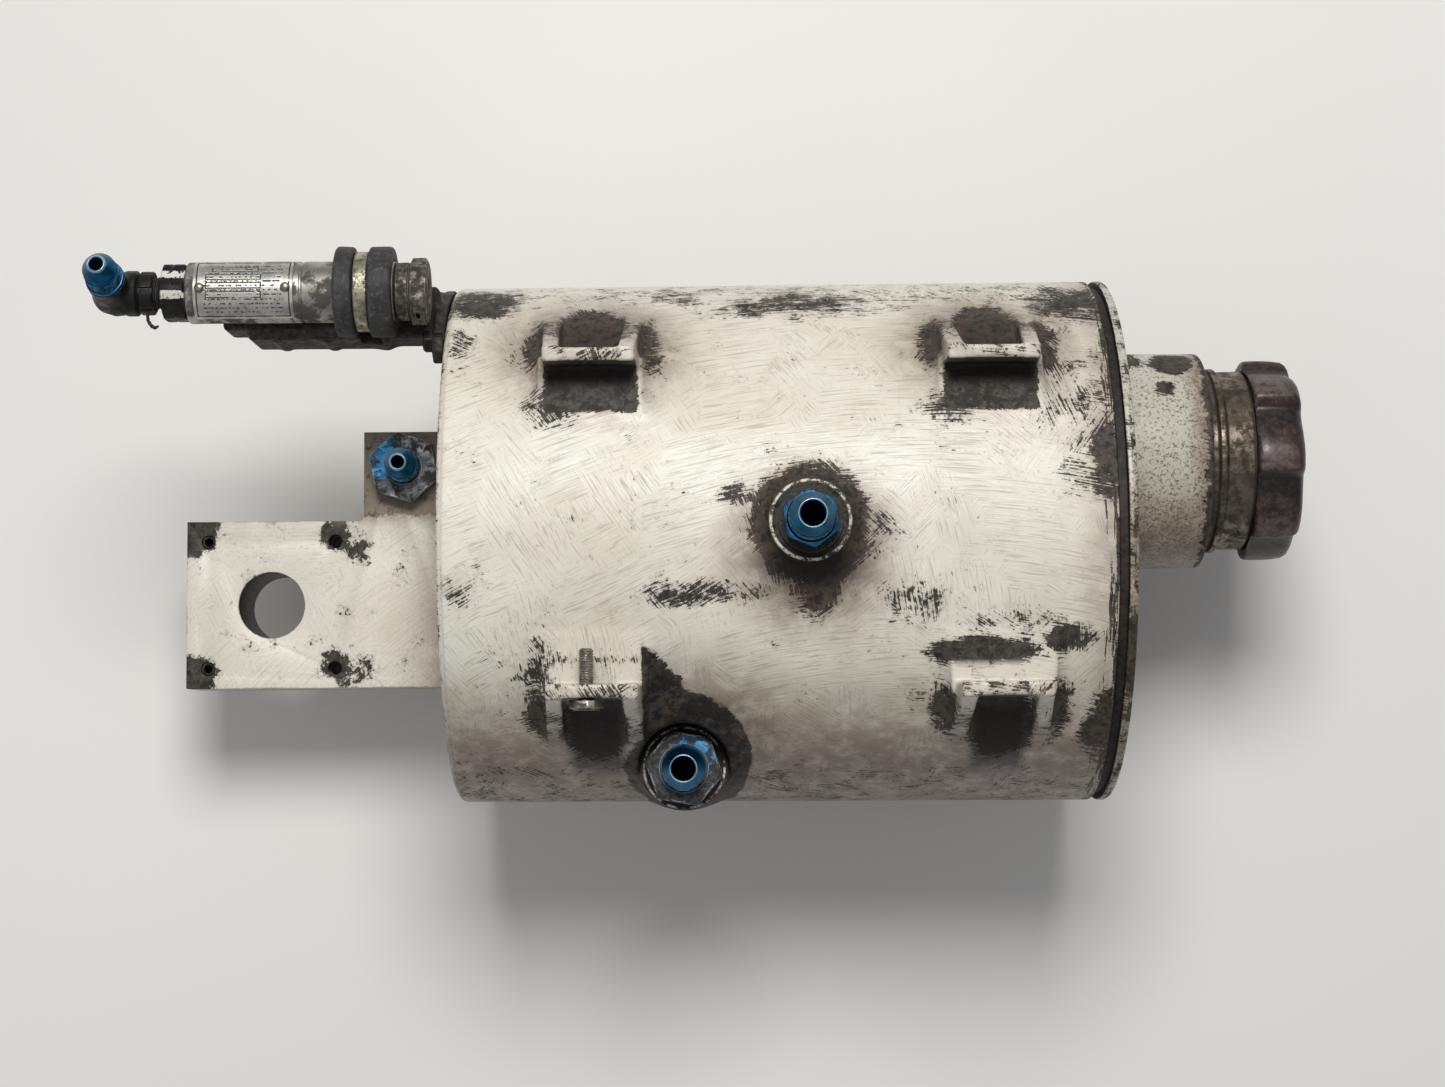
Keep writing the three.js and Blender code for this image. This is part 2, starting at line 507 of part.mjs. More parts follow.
function valveAdapter() {
  const a = ADAPTER;
  const hex = hexBar('x', a.hexAcross, a.x0, VALVE.x0 - GAP, VALVE_AXIS, 0);
  const thread = rod('x', a.threadR, a.threadEnd, a.x0 + 1, SMALL_SIDES, VALVE_AXIS);
  const plug = rod('x', a.plugR, VALVE.x0 - 1, a.plugEnd, SMALL_SIDES, VALVE_AXIS);
  const bore = rod('x', AN4.boreR, a.threadEnd - 1, a.plugEnd + 1, 16, VALVE_AXIS);
  return cut(join(hex, thread, plug), bore);
}

function lockNut() {
  const { x0, x1, r } = LOCKNUT;
  const inner = ADAPTER.threadR + GAP;
  const profile = [[x0, inner], [x0, r - 0.8], [x0 + 0.8, r], [x1 - 0.8, r], [x1, r - 0.8], [x1, inner],
    [x0, inner]];
  return turned('x', profile, SMALL_SIDES, VALVE_AXIS);
}

// The elbow: a socket over the adapter's thread, a bend and an upright flared nipple.
function elbow() {
  const e = ELBOW;
  const arm = rod('x', e.armR, e.x, e.socketEnd, SMALL_SIDES, VALVE_AXIS);
  const knee = solid(new THREE.SphereGeometry(e.kneeR, SMALL_SIDES, 12).translate(e.x, VALVE.y, VALVE.z));
  const root = -e.r * 0.6;
  const riser = turned('z', [[root, 0], [root, e.r], [8, e.r], [10, e.r - 0.2], [10.4, AN4.threadR],
    ...nippleEnd(AN4, e.reach), [e.reach, 0]], SMALL_SIDES);
  const bore = rod('z', AN4.boreR, 0, e.reach + 1, 16);
  const upright = (body) => body.rotate([-e.clock, 0, 0]).translate([e.x, VALVE.y, VALVE.z]);
  const socket = rod('x', ADAPTER.threadR + GAP, ADAPTER.threadEnd - GAP, e.socketEnd + 1, SMALL_SIDES,
    VALVE_AXIS);
  const waterway = rod('x', AN4.boreR, e.x, e.socketEnd + 1, 16, VALVE_AXIS);
  return cut(join(arm, knee, upright(riser)), upright(bore), socket, waterway);
}

function endCap() {
  const c = END_CAP;
  const hex = hexBar('x', c.across, c.x0, c.x1, VALVE_AXIS, 0);
  const plug = turned('x', [[c.plugEnd, 0], [c.plugEnd, c.plugR], [c.x0 + 1, c.plugR], [c.x0 + 1, 0]],
    SMALL_SIDES, VALVE_AXIS);
  const wireHole = rod('z', 0.8, VALVE.z - 20, VALVE.z + 20, 8, [-7.5, VALVE.y - 8.6, 0]);
  return cut(join(hex, plug), wireHole);
}

function valveSeat() {
  const p = POPPET;
  const back = p.seatX - 4;
  const profile = [[back, p.seatBore], [back, p.seatR], [p.seatX, p.seatR], [p.seatX, p.seatBore + 1.2],
    [p.seatX - 1.2, p.seatBore], [back, p.seatBore]];
  return turned('x', profile, SMALL_SIDES, VALVE_AXIS);
}

function poppet() {
  const p = POPPET;
  const profile = [[p.seatX - 0.9, 0], [p.seatX - 0.9, p.seatBore - 0.7], [p.seatX + 1.2, p.headR],
    [p.seatX + 3.2, p.headR], [p.seatX + 3.2, p.stemR], [p.seatX + 9, p.stemR], [p.seatX + 9, 0]];
  return turned('x', profile, SMALL_SIDES, VALVE_AXIS);
}

// A helix of round wire between the poppet's shoulder and the end cap's plug.
class Helix extends THREE.Curve {
  constructor(radius, start, end, turns) {
    super();
    Object.assign(this, { radius, start, end, turns });
  }

  getPoint(t, target = new THREE.Vector3()) {
    const a = t * this.turns * 2 * Math.PI;
    return target.set(this.start + (this.end - this.start) * t, VALVE.y + this.radius * Math.cos(a),
      VALVE.z + this.radius * Math.sin(a));
  }
}

function wireAlong(curve, r, steps, sides) {
  const section = new THREE.Shape();
  for (let i = 0; i < sides; i += 1) {
    const a = (i / sides) * 2 * Math.PI;
    if (i === 0) section.moveTo(r, 0);
    else section.lineTo(r * Math.cos(a), r * Math.sin(a));
  }
  section.closePath();
  return solid(new THREE.ExtrudeGeometry(section, { steps, extrudePath: curve, bevelEnabled: false }));
}

function reliefSpring() {
  const path = new Helix(SPRING.r, POPPET.seatX + 4.3, END_CAP.plugEnd - 1.2, SPRING.turns);
  return wireAlong(path, SPRING.wireR, 60, 5);
}

// ---------------------------------------------------------------- clamp
function clampCushion() {
  const c = CLAMP;
  const [[a0, a1], [b0, b1]] = c.ribs;
  const profile = [[a0, c.innerR], [a0, c.ribR - 1], [a0 + 1, c.ribR], [a1 - 1, c.ribR], [a1, c.ribR - 1],
    [a1, c.webR], [b0, c.webR], [b0, c.ribR - 1], [b0 + 1, c.ribR], [b1 - 1, c.ribR], [b1, c.ribR - 1],
    [b1, c.innerR], [a0, c.innerR]];
  return turned('x', profile, MID_SIDES, VALVE_AXIS);
}

function clampBand() {
  const c = CLAMP;
  const [x0, x1] = c.band;
  const loop = ring('x', c.bandIn, c.bandOut, x0, x1, MID_SIDES, VALVE_AXIS);
  const low = VALVE.z - c.bandOut - c.earDrop;
  const high = VALVE.z - c.bandIn - 0.4;
  const ear = (y0, y1) => box(x0, y0, low, x1, y1, high);
  const half = c.earGap / 2;
  const ears = join(ear(VALVE.y - half - c.earWall, VALVE.y - half),
    ear(VALVE.y + half, VALVE.y + half + c.earWall));
  const split = box(x0 - 1, VALVE.y - half, low, x1 + 1, VALVE.y + half, VALVE.z - 5);
  const mid = (x0 + x1) / 2;
  const hole = rod('z', 1.2, -10, 10, 12).rotate([90, 0, 0]).translate([mid, VALVE.y, clampScrewZ()]);
  return cut(join(loop, ears), split, hole);
}

const clampScrewZ = () => VALVE.z - CLAMP.bandOut - CLAMP.earDrop / 2 - 1;

function clampScrew() {
  const mid = (CLAMP.band[0] + CLAMP.band[1]) / 2;
  const start = -CLAMP.earGap / 2 - CLAMP.earWall - GAP;
  const profile = [[start - 2, 0], [start - 2, 1.6], [start, 1.7], [start, 0.9], [5.6, 0.9], [5.6, 0]];
  const body = turned('z', profile, 12);
  return body.rotate([-90, 0, 0]).translate([mid, VALVE.y, clampScrewZ()]);
}

function clampNut() {
  const mid = (CLAMP.band[0] + CLAMP.band[1]) / 2;
  const start = CLAMP.earGap / 2 + CLAMP.earWall + GAP;
  const body = cut(hexBar('z', 3.6, start, start + 1.8, [0, 0, 0]), rod('z', 1.2, 0, 8, 12));
  return body.rotate([-90, 0, 0]).translate([mid, VALVE.y, clampScrewZ()]);
}

// ---------------------------------------------------------------- valve arm
function valveArm() {
  const a = ARM;
  const [f0, f1] = a.full;
  const main = alongX([[a.y0, a.z0 + 6], [a.y0 + 5, a.z0], [a.y1 - 5, a.z0], [a.y1, a.z0 + 6],
    [a.y1, a.z1 - 4], [a.y1 - 3, a.z1], [a.y0 + 3, a.z1], [a.y0, a.z1 - 4]], f0, f1);
  const tip = box(a.tipX, a.y0 + 3, a.tipZ - 8, f0 + 1, a.y1 - 4, a.z1 - 2);
  const slim = box(f1 - 1, a.slimY0 - 2, a.z0 + 3, a.flangeX + 1, a.y1 - 3, a.slimZ1 - 2);
  const flange = alongX(ARM_FLANGE, a.flangeX, -GAP);
  const v = VALVE;
  const saddle = rod('x', v.bodyR + GAP, a.tipX - 1, CLAMP.ribs[0][0] - 1, MID_SIDES, VALVE_AXIS);
  const clampRoom = rod('x', CLAMP.ribR + 0.6, CLAMP.ribs[0][0] - 1, 0, MID_SIDES, VALVE_AXIS);
  const passage = rod('x', v.portR, v.portX + 5, 1, 12, [0, a.passageY, a.passageZ]);
  const riser = rod('z', v.portR, a.passageZ, a.z1 + 4, 16, [v.portX + 8, v.y, 0]);
  const cross = rod('z', v.portR, -10, 10, 16).rotate([90, 0, 0])
    .translate([v.portX + 8, a.passageY + 6, a.passageZ]);
  const notch = box(CLAMP.band[0] - 1.2, a.y0 - 1, clampScrewZ() - 5, CLAMP.band[1] + 1.2, a.y1 + 1,
    a.z1 + 6);
  const screws = ARM_SCREWS.map((s) => rod('x', SCREW_R + GAP, a.flangeX - 12, 1, 12, [0, s.y, s.z]));
  const crossing = cross.intersect(box(f0, a.passageY, 0, f1, v.y + 3, 60));
  return cut(join(main, tip, slim, flange), saddle, clampRoom, passage, riser, crossing, notch, ...screws);
}

function armScrew({ y, z }) {
  const head = hexBar('x', 7, ARM.flangeX - GAP - 2.8, ARM.flangeX - GAP, [0, y, z], 0);
  return join(head, rod('x', SCREW_R, ARM.flangeX - 1, 4.4, 16, [0, y, z]));
}

// A stub of lock wire left hanging through the corner of the valve's lock nut.
function lockWire() {
  const start = [LOCKNUT.x0 + 2.4, VALVE.y - LOCKNUT.r - 0.9, VALVE.z + 2];
  const points = WIRE_BENDS.map(([x, y, z]) => new THREE.Vector3(start[0] + x, start[1] + y, start[2] + z));
  return wireAlong(new THREE.CatmullRomCurve3(points), WIRE_R, 12, 6);
}

// ---------------------------------------------------------------- inside the tank
function standpipe() {
  const p = CENTRE_PORT;
  const top = p.face - p.shankDepth - GAP - 0.5;
  return ring('z', STANDPIPE.bore, STANDPIPE.r, STANDPIPE.bottom, top, SMALL_SIDES, [p.x, p.y, 0]);
}

function baffle() {
  const b = BAFFLE;
  const disc = rod('x', tankR(b.x) - TANK.wall - 2 * GAP, b.x, b.x + b.thickness, RING_SIDES);
  const cuts = [];
  for (let i = 0; i < b.holes; i += 1) {
    const a = (i / b.holes) * 2 * Math.PI;
    cuts.push(rod('x', b.holeR, b.x - 1, b.x + 4, 20, [0, b.ringR * Math.cos(a), b.ringR * Math.sin(a)]));
  }
  const drainWay = box(b.x - 1, -20, -95, b.x + 4, 20, -70);
  return cut(disc, ...cuts, drainWay);
}

function drainPlug() {
  const d = DRAIN;
  const place = [d.x, d.y, 0];
  const seat = d.headTop - 1.2;
  const body = turned('z', [[d.headBottom, 0], [d.headBottom, d.headR - 0.8], [d.headBottom + 0.8, d.headR],
    [seat, d.headR], [seat, d.shankR], [d.bossTop - 1, d.shankR], [d.bossTop, d.shankR - 1], [d.bossTop, 0]],
  SMALL_SIDES, place);
  return cut(body, hexBar('z', 8, d.headBottom - 2, d.headBottom + 3.4, place));
}

const drainSeal = () =>
  ring('z', DRAIN.shankR + GAP, DRAIN.headR, DRAIN.headTop - 0.9, DRAIN.headTop, SMALL_SIDES,
    [DRAIN.x, DRAIN.y, 0]);

// ---------------------------------------------------------------- assembly
const reservoir = new THREE.Group();
const [insertLower, insertUpper] = squareHoles();
reservoir.add(
  piece('tank_body', tankBody(), ENAMEL),
  ...LUG_PLACES.map((place) => piece(place.name, lug(place), ENAMEL)),
  piece('end_cover', endCover(), ENAMEL),
  piece('cover_seal', coverSeal(), SEAL_RUBBER),
  piece('standpipe', standpipe(), WORN_STEEL),
  piece('baffle_plate', baffle(), WORN_STEEL),
  piece('drain_plug', drainPlug(), WORN_STEEL),
  piece('drain_plug_seal', drainSeal(), SEAL_RUBBER),
  piece('port_block', portBlock(), ENAMEL),
  piece('thread_insert_upper', threadInsert(insertUpper), WORN_STEEL),
  piece('thread_insert_lower', threadInsert(insertLower), WORN_STEEL),
  piece('filler_collar', fillerCollar(), COLLAR_METAL),
  piece('filler_strainer', strainerBasket(), BRASS),
  piece('cap_plug', capPlug(), COLLAR_METAL),
  piece('cap_gasket', capGasket(), SEAL_RUBBER),
  piece('cap_stem', capStem(), WORN_STEEL),
  piece('cap_knob', fillerKnob(), KNOB_PLASTIC),
  piece('cap_nut', capNut(), WORN_STEEL),
  piece('centre_port_fitting', centreFitting(), BLUE_ANODISE),
  piece('centre_port_seal', centreSeal(), SEAL_RUBBER),
  piece('lower_port_fitting', plainNipple(AN6, LOWER_PORT, LOWER_PORT.face), BLUE_ANODISE),
  piece('lower_port_nut', portNut(LOWER_PORT, LOWER_PORT.face, AN6.threadR, 20), WORN_STEEL),
  piece('lower_port_seal', portSeal(LOWER_PORT, LOWER_PORT.face, AN6.threadR), SEAL_RUBBER),
  piece('block_port_fitting', plainNipple(AN4, BLOCK_PORT, BLOCK.top), BLUE_ANODISE),
  piece('block_port_nut', portNut(BLOCK_PORT, BLOCK.top, AN4.threadR, 12), WORN_STEEL),
  piece('block_port_seal', portSeal(BLOCK_PORT, BLOCK.top, AN4.threadR), SEAL_RUBBER),
  piece('lug_bolt', lugBolt(), WORN_STEEL),
  piece('valve_arm', valveArm(), DARK_CASTING),
  piece('arm_screw_upper', armScrew(ARM_SCREWS[0]), BLACK_FINISH),
  piece('arm_screw_lower', armScrew(ARM_SCREWS[1]), BLACK_FINISH),
  piece('valve_body', valveBody(), VALVE_METAL),
  piece('valve_nameplate', nameplate(), PLATE_METAL),
  piece('nameplate_screw_left', driveScrew(NAMEPLATE.screwX[0]), PLATE_METAL),
  piece('nameplate_screw_right', driveScrew(NAMEPLATE.screwX[1]), PLATE_METAL),
  piece('valve_adapter', valveAdapter(), BLACK_FINISH),
  piece('valve_lock_nut', lockNut(), BLACK_FINISH),
  piece('valve_elbow', elbow(), BLACK_FINISH),
  piece('valve_end_cap', endCap(), VALVE_METAL),
  piece('valve_seat', valveSeat(), BRASS),
  piece('valve_poppet', poppet(), BRASS),
  piece('valve_spring', reliefSpring(), SPRING_STEEL),
  piece('clamp_cushion', clampCushion(), RUBBER),
  piece('clamp_band', clampBand(), BAND_METAL),
  piece('clamp_screw', clampScrew(), WORN_STEEL),
  piece('clamp_nut', clampNut(), WORN_STEEL),
  piece('lock_wire', lockWire(), SPRING_STEEL),
);

const part = new THREE.Group();
reservoir.position.set(-(PAD.x0 + PAD.x1) / 2, 0, -PAD.bottom);
part.add(reservoir);

export default part;
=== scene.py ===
"""Looks for an airframe hydraulic reservoir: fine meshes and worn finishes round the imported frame.

Everything is in the frame's own axes. Sizes and places in this file are millimetres; a mesh is
scaled to metres when it is made. X runs along the tank from its blank end to the filler."""

import math

import bmesh
import bpy
import numpy as np
from mathutils import Matrix, Vector


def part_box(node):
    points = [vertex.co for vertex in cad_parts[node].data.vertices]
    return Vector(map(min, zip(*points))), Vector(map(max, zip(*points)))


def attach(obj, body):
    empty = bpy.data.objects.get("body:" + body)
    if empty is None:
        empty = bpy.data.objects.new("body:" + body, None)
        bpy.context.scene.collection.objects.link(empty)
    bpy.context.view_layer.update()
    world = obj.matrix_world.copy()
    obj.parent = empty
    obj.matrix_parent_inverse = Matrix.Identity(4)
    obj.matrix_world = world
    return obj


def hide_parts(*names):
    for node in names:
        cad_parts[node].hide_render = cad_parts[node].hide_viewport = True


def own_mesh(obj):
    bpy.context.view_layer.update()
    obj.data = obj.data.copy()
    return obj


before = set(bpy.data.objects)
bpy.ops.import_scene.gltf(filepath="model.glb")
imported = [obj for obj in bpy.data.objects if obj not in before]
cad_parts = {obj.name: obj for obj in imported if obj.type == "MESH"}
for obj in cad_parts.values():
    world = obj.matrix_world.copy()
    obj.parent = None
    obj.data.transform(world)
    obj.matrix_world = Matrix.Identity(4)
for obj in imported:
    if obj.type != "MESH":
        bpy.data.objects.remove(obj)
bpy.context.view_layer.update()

MM = 0.001
SHARP = math.radians(33)                # faces that meet at more than this keep a hard edge
CAST = math.radians(50)                 # and the same for castings, which are softer


class Span:
    """A CAD node's box, in millimetres, with its middle."""

    def __init__(self, node):
        lo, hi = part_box(node)
        self.x0, self.y0, self.z0 = (v / MM for v in lo)
        self.x1, self.y1, self.z1 = (v / MM for v in hi)
        self.x = (self.x0 + self.x1) / 2
        self.y = (self.y0 + self.y1) / 2
        self.z = (self.z0 + self.z1) / 2


# ---------------------------------------------------------------- driving places, from the frame
TANK = Span("tank_body")
SEAL = Span("cover_seal")
COVER = Span("end_cover")
COLLAR = Span("filler_collar")
FLANGE = Span("cap_plug")
KNOB = Span("cap_knob")
CENTRE = Span("centre_port_fitting")
LOWER = Span("lower_port_fitting")
BLOCK_FITTING = Span("block_port_fitting")
BLOCK = Span("port_block")
VALVE = Span("valve_body")
VALVE_R = 9.8
KNOB_LOBE, KNOB_VALLEY = 34.0, 30.9
ARM = Span("valve_arm")
LUGS = {name: Span(name) for name in
        ("lug_upper_left", "lug_upper_right", "lug_lower_left", "lug_lower_right")}

AXIS_Z = SEAL.z
TANK_BLANK_R = 87.2
TANK_OPEN_R = 88.0
TANK_WALL = 4.2
TANK_HEAD = 6.0
PAD_X, PAD_Y = 59, 32                    # the base pad's half sizes
PORT_BORE = 7.44
BLOCK_BORE, BLOCK_STEP = 11.6, 10.9        # the block's big bore, and the Y where its tab starts
UP = (0, 0, 1)
AN6 = {"thread": 7.14, "bore": 3.75, "pitch": 1.41, "rim": 0.5}
AN4 = {"thread": 5.56, "bore": 2.0, "pitch": 1.27, "rim": 0.7}
ELBOW_TILT, KNEE_BACK = 11.5, 8.3          # the elbow nipple's lean, and its axis back from the elbow's end
LUG_HALF, GUSSET = 14.0, 5.0             # a lug's half width and the thickness of its sides
FACE_Z = LUGS["lug_upper_left"].z1      # the lugs' tops and the centre boss share one height
LOWER_FACE = Span("lower_port_seal").z0 - 0.3
TOP = FACE_Z - AXIS_Z
INSERTS = [Span("thread_insert_upper"), Span("thread_insert_lower")]
TAB = (BLOCK_FITTING.x - 4, BLOCK_FITTING.y + 3, BLOCK.z1)
RAYS = 6                                # rays for each bevel and each corner's shade


def tank_radius(x):
    return TANK_BLANK_R + (TANK_OPEN_R - TANK_BLANK_R) * (x - TANK.x0) / (TANK.x1 - TANK.x0)


# ---------------------------------------------------------------- mesh kit
def link(name, points, faces):
    """A new mesh object from points in millimetres, its faces turned outwards."""
    mesh = bpy.data.meshes.new(name)
    mesh.from_pydata([tuple(p) for p in np.asarray(points, float) * MM], [], faces)
    made = bpy.data.objects.new(name, mesh)
    bpy.context.scene.collection.objects.link(made)
    outwards(made)
    return made


def outwards(piece):
    shape = bmesh.new()
    shape.from_mesh(piece.data)
    bmesh.ops.remove_doubles(shape, verts=shape.verts, dist=1e-7)
    bmesh.ops.recalc_face_normals(shape, faces=shape.faces)
    shape.to_mesh(piece.data)
    shape.free()


def shade(piece, angle=SHARP):
    """Smooth shading, broken where two faces meet at more than the angle."""
    piece.data.shade_smooth()
    piece.data.set_sharp_from_angle(angle=angle)


def freeze(piece):
    """Applies the piece's modifiers to its mesh."""
    graph = bpy.context.evaluated_depsgraph_get()
    mesh = bpy.data.meshes.new_from_object(piece.evaluated_get(graph))
    piece.modifiers.clear()
    piece.data = mesh


def carve(piece, *tools, operation="DIFFERENCE"):
    """Cuts the tools out of a piece, or joins them to it, and drops them."""
    for tool in tools:
        cut = piece.modifiers.new("carve", "BOOLEAN")
        cut.operation = operation
        cut.solver = "EXACT"
        cut.object = tool
    freeze(piece)
    for tool in tools:
        bpy.data.objects.remove(tool)
    return piece


def soften(piece, width, segments=3, angle=SHARP):
    """Rounds off the piece's edges."""
    bevel = piece.modifiers.new("soften", "BEVEL")
    bevel.width = width * MM
    bevel.segments = segments
    bevel.limit_method = "ANGLE"
    bevel.angle_limit = angle
    bevel.miter_outer = "MITER_ARC"
    freeze(piece)
    return piece


def rounded(corners, steps=4):
    """A profile from (station, radius, fillet) corners, each fillet drawn as a short curve."""
    places = [np.array(c[:2], float) for c in corners]
    profile = []
    for i, corner in enumerate(corners):
        fillet = corner[2] if len(corner) > 2 else 0
        here = places[i]
        if not fillet or i in (0, len(corners) - 1):
            profile.append(tuple(here))
            continue
        back, ahead = places[i - 1] - here, places[i + 1] - here
        from_back = here + back * min(fillet / np.linalg.norm(back), 0.49)
        to_ahead = here + ahead * min(fillet / np.linalg.norm(ahead), 0.49)
        for t in np.linspace(0, 1, steps + 1):
            profile.append(tuple((1 - t) ** 2 * from_back + 2 * t * (1 - t) * here + t ** 2 * to_ahead))
    return profile


def spread(profile, longest):
    """The same profile with points added, so that no span is longer than the given length."""
    fine = [profile[0]]
    for a, b in zip(profile, profile[1:]):
        count = max(1, math.ceil(math.dist(a, b) / longest))
        for i in range(1, count + 1):
            fine.append((a[0] + (b[0] - a[0]) * i / count, a[1] + (b[1] - a[1]) * i / count))
    return fine


def turned(name, axis, centre, profile, sides=96, shape=None, start=0.0):
    """A turned solid. The profile lists (station, radius) from the axis out and back to it, or as a
    closed loop. shape(angle, station, radius) may change the radius; angle 0 is +Z, or +Y on the Z axis."""
    along = "xyz".index(axis)
    side, up = ((1, 2), (2, 0), (0, 1))[along]
    loop = math.dist(profile[0], profile[-1]) < 1e-6
    rows = profile[:-1] if loop else profile
    angle = math.radians(start) + np.arange(sides) / sides * math.tau
    points, rings = [], []
    for station, radius in rows:
        if radius < 1e-6:
            point = np.array(centre, float)
            point[along] = station
            rings.append([len(points)])
            points.append(point)
            continue
        reach = shape(angle, station, radius) if shape else np.full(sides, radius)
        ring = np.tile(np.array(centre, float), (sides, 1))
        ring[:, along] = station
        ring[:, side] += reach * np.sin(angle)
        ring[:, up] += reach * np.cos(angle)
        rings.append(list(range(len(points), len(points) + sides)))
        points.extend(ring)
    return link(name, points, ring_faces(rings, loop))


def ring_faces(rings, loop):
    faces = []
    pairs = list(zip(rings, rings[1:])) + ([(rings[-1], rings[0])] if loop else [])
    for a, b in pairs:
        count = max(len(a), len(b))
        for i in range(count):
            j = (i + 1) % count
            face = [a[i % len(a)], a[j % len(a)], b[j % len(b)], b[i % len(b)]]
            face = list(dict.fromkeys(face))
            if len(face) > 2:
                faces.append(face)
    return faces


def hexagon(across, turn=0.0, blunt=0.35):
    """A turned shape's hexagonal bar, with a corner at the turn angle and its corners blunted."""
    def shape(angle, station, radius):
        wedge = (angle - math.radians(turn)) % (math.pi / 3) - math.pi / 6
        flat = across / 2 / np.cos(wedge)
        return np.minimum(np.minimum(flat, across / math.sqrt(3) - blunt), radius)
    return shape


def screw_thread(pitch, depth, first, last):
    """A turned shape's screw thread between two stations, fading in and out."""
    def shape(angle, station, radius):
        if not first <= station <= last:
            return np.full(len(angle), radius)
        ridge = np.abs(((station - first) / pitch - angle / math.tau) % 1 - 0.5) * 2
        fade = min(1, (station - first) / pitch, (last - station) / pitch)
        return radius - depth * fade * np.clip(ridge * 1.25 - 0.1, 0, 1)
    return shape


def only(test, shape):
    """The shape where the test of a station and a radius holds, and a plain circle elsewhere."""
    return lambda angle, station, radius: (
        shape(angle, station, radius) if test(station, radius) else np.full(len(angle), radius))


def tube(name, path, radius, sides=12):
    """A round wire along a list of points, with closed ends."""
    path = np.asarray(path, float)
    heading = np.gradient(path, axis=0)
    heading /= np.linalg.norm(heading, axis=1)[:, None]
    across = np.cross(heading[0], (0.3, 0.2, 1.0))
    points, rings = [path[0]], [[0]]
    angle = np.arange(sides) / sides * math.tau
    for place, ahead in zip(path, heading):
        across = across - ahead * across.dot(ahead)
        across /= np.linalg.norm(across)
        other = np.cross(ahead, across)
        rings.append(list(range(len(points), len(points) + sides)))
        points.extend(place + radius * (np.outer(np.cos(angle), across) + np.outer(np.sin(angle), other)))
    rings.append([len(points)])
    points.append(path[-1])
    return link(name, points, ring_faces(rings, False))


def block(name, lo, hi, round_off=0.0):
    """A box between two corners, its edges rounded if asked."""
    corners = [(x, y, z) for x in (lo[0], hi[0]) for y in (lo[1], hi[1]) for z in (lo[2], hi[2])]
    faces = [(0, 1, 3, 2), (4, 6, 7, 5), (0, 4, 5, 1), (2, 3, 7, 6), (0, 2, 6, 4), (1, 5, 7, 3)]
    made = link(name, corners, faces)
    return soften(made, round_off) if round_off else made


def prism(name, outline, z0, z1):
    """A flat outline in X and Y, raised along Z."""
    count = len(outline)
    points = [(x, y, z0) for x, y in outline] + [(x, y, z1) for x, y in outline]
    faces = [list(range(count)), list(range(count, 2 * count))]
    faces += [[i, (i + 1) % count, count + (i + 1) % count, count + i] for i in range(count)]
    return link(name, points, faces)


# ---------------------------------------------------------------- castings, from distance fields
def rod_field(p, axis, centre, radius, first, last, edge=0.0):
    along = "xyz".index(axis)
    side, up = [i for i in range(3) if i != along]
    out = np.hypot(p[..., side] - centre[side], p[..., up] - centre[up]) - radius + edge
    end = np.abs(p[..., along] - (first + last) / 2) - (last - first) / 2 + edge
    return np.hypot(np.maximum(out, 0), np.maximum(end, 0)) + np.minimum(np.maximum(out, end), 0) - edge


def box_field(p, lo, hi, edge=0.0):
    lo, hi = np.array(lo, float), np.array(hi, float)
    q = np.abs(p - (lo + hi) / 2) - (hi - lo) / 2 + edge
    return np.linalg.norm(np.maximum(q, 0), axis=-1) + np.minimum(q.max(-1), 0) - edge


def outline_field(u, v, outline):
    """Signed distance to a closed outline of (u, v) corners."""
    nearest = np.full(u.shape, 1e9)
    inside = np.zeros(u.shape, bool)
    for (au, av), (bu, bv) in zip(outline, outline[1:] + outline[:1]):
        du, dv = bu - au, bv - av
        t = np.clip(((u - au) * du + (v - av) * dv) / (du * du + dv * dv), 0, 1)
        nearest = np.minimum(nearest, np.hypot(u - au - t * du, v - av - t * dv))
        crosses = (av > v) != (bv > v)
        inside ^= crosses & (u < au + (v - av) * du / (dv if dv else 1e-9))
    return np.where(inside, -nearest, nearest)


def plate_field(flat, across, first, last, edge=0.0):
    """A flat field given thickness between two stations of the across coordinate."""
    out = flat + edge
    end = np.abs(across - (first + last) / 2) - (last - first) / 2 + edge
    return np.hypot(np.maximum(out, 0), np.maximum(end, 0)) + np.minimum(np.maximum(out, end), 0) - edge


def melt(a, b, reach):
    """Two fields joined, with a cast fillet between them."""
    share = np.clip(0.5 + 0.5 * (b - a) / reach, 0, 1)
    return b * (1 - share) + a * share - reach * share * (1 - share)


def hollow(a, b, reach=0.5):
    """Field a with b cut out, its new edge slightly rounded."""
    return -melt(-a, b, reach)


def tank_field(p):
    return np.hypot(p[..., 1], p[..., 2] - AXIS_Z) - tank_radius(p[..., 0])


def ease(value, low, high):
    t = np.clip((value - low) / (high - low), 0, 1)
    return t * t * (3 - 2 * t)


SKIN = 0.06              # how far a casting's foot stands over the tank
SKIN_DEEP = 3.4          # how deep it is let into the tank's wall


def on_tank(p, feature, reach, foot=13.0):
    """A feature cast on to the tank: its foot runs out level with the tank's surface and ends under it."""
    tank = tank_field(p)
    skin = SKIN - 0.24 * ease(feature, foot * 0.5, foot * 0.9)
    joined = melt(feature, tank - skin, reach)
    return np.maximum(np.maximum(joined, feature - foot), -tank - SKIN_DEEP)


CORNERS = [(i, j, k) for i in (0, 1) for j in (0, 1) for k in (0, 1)]


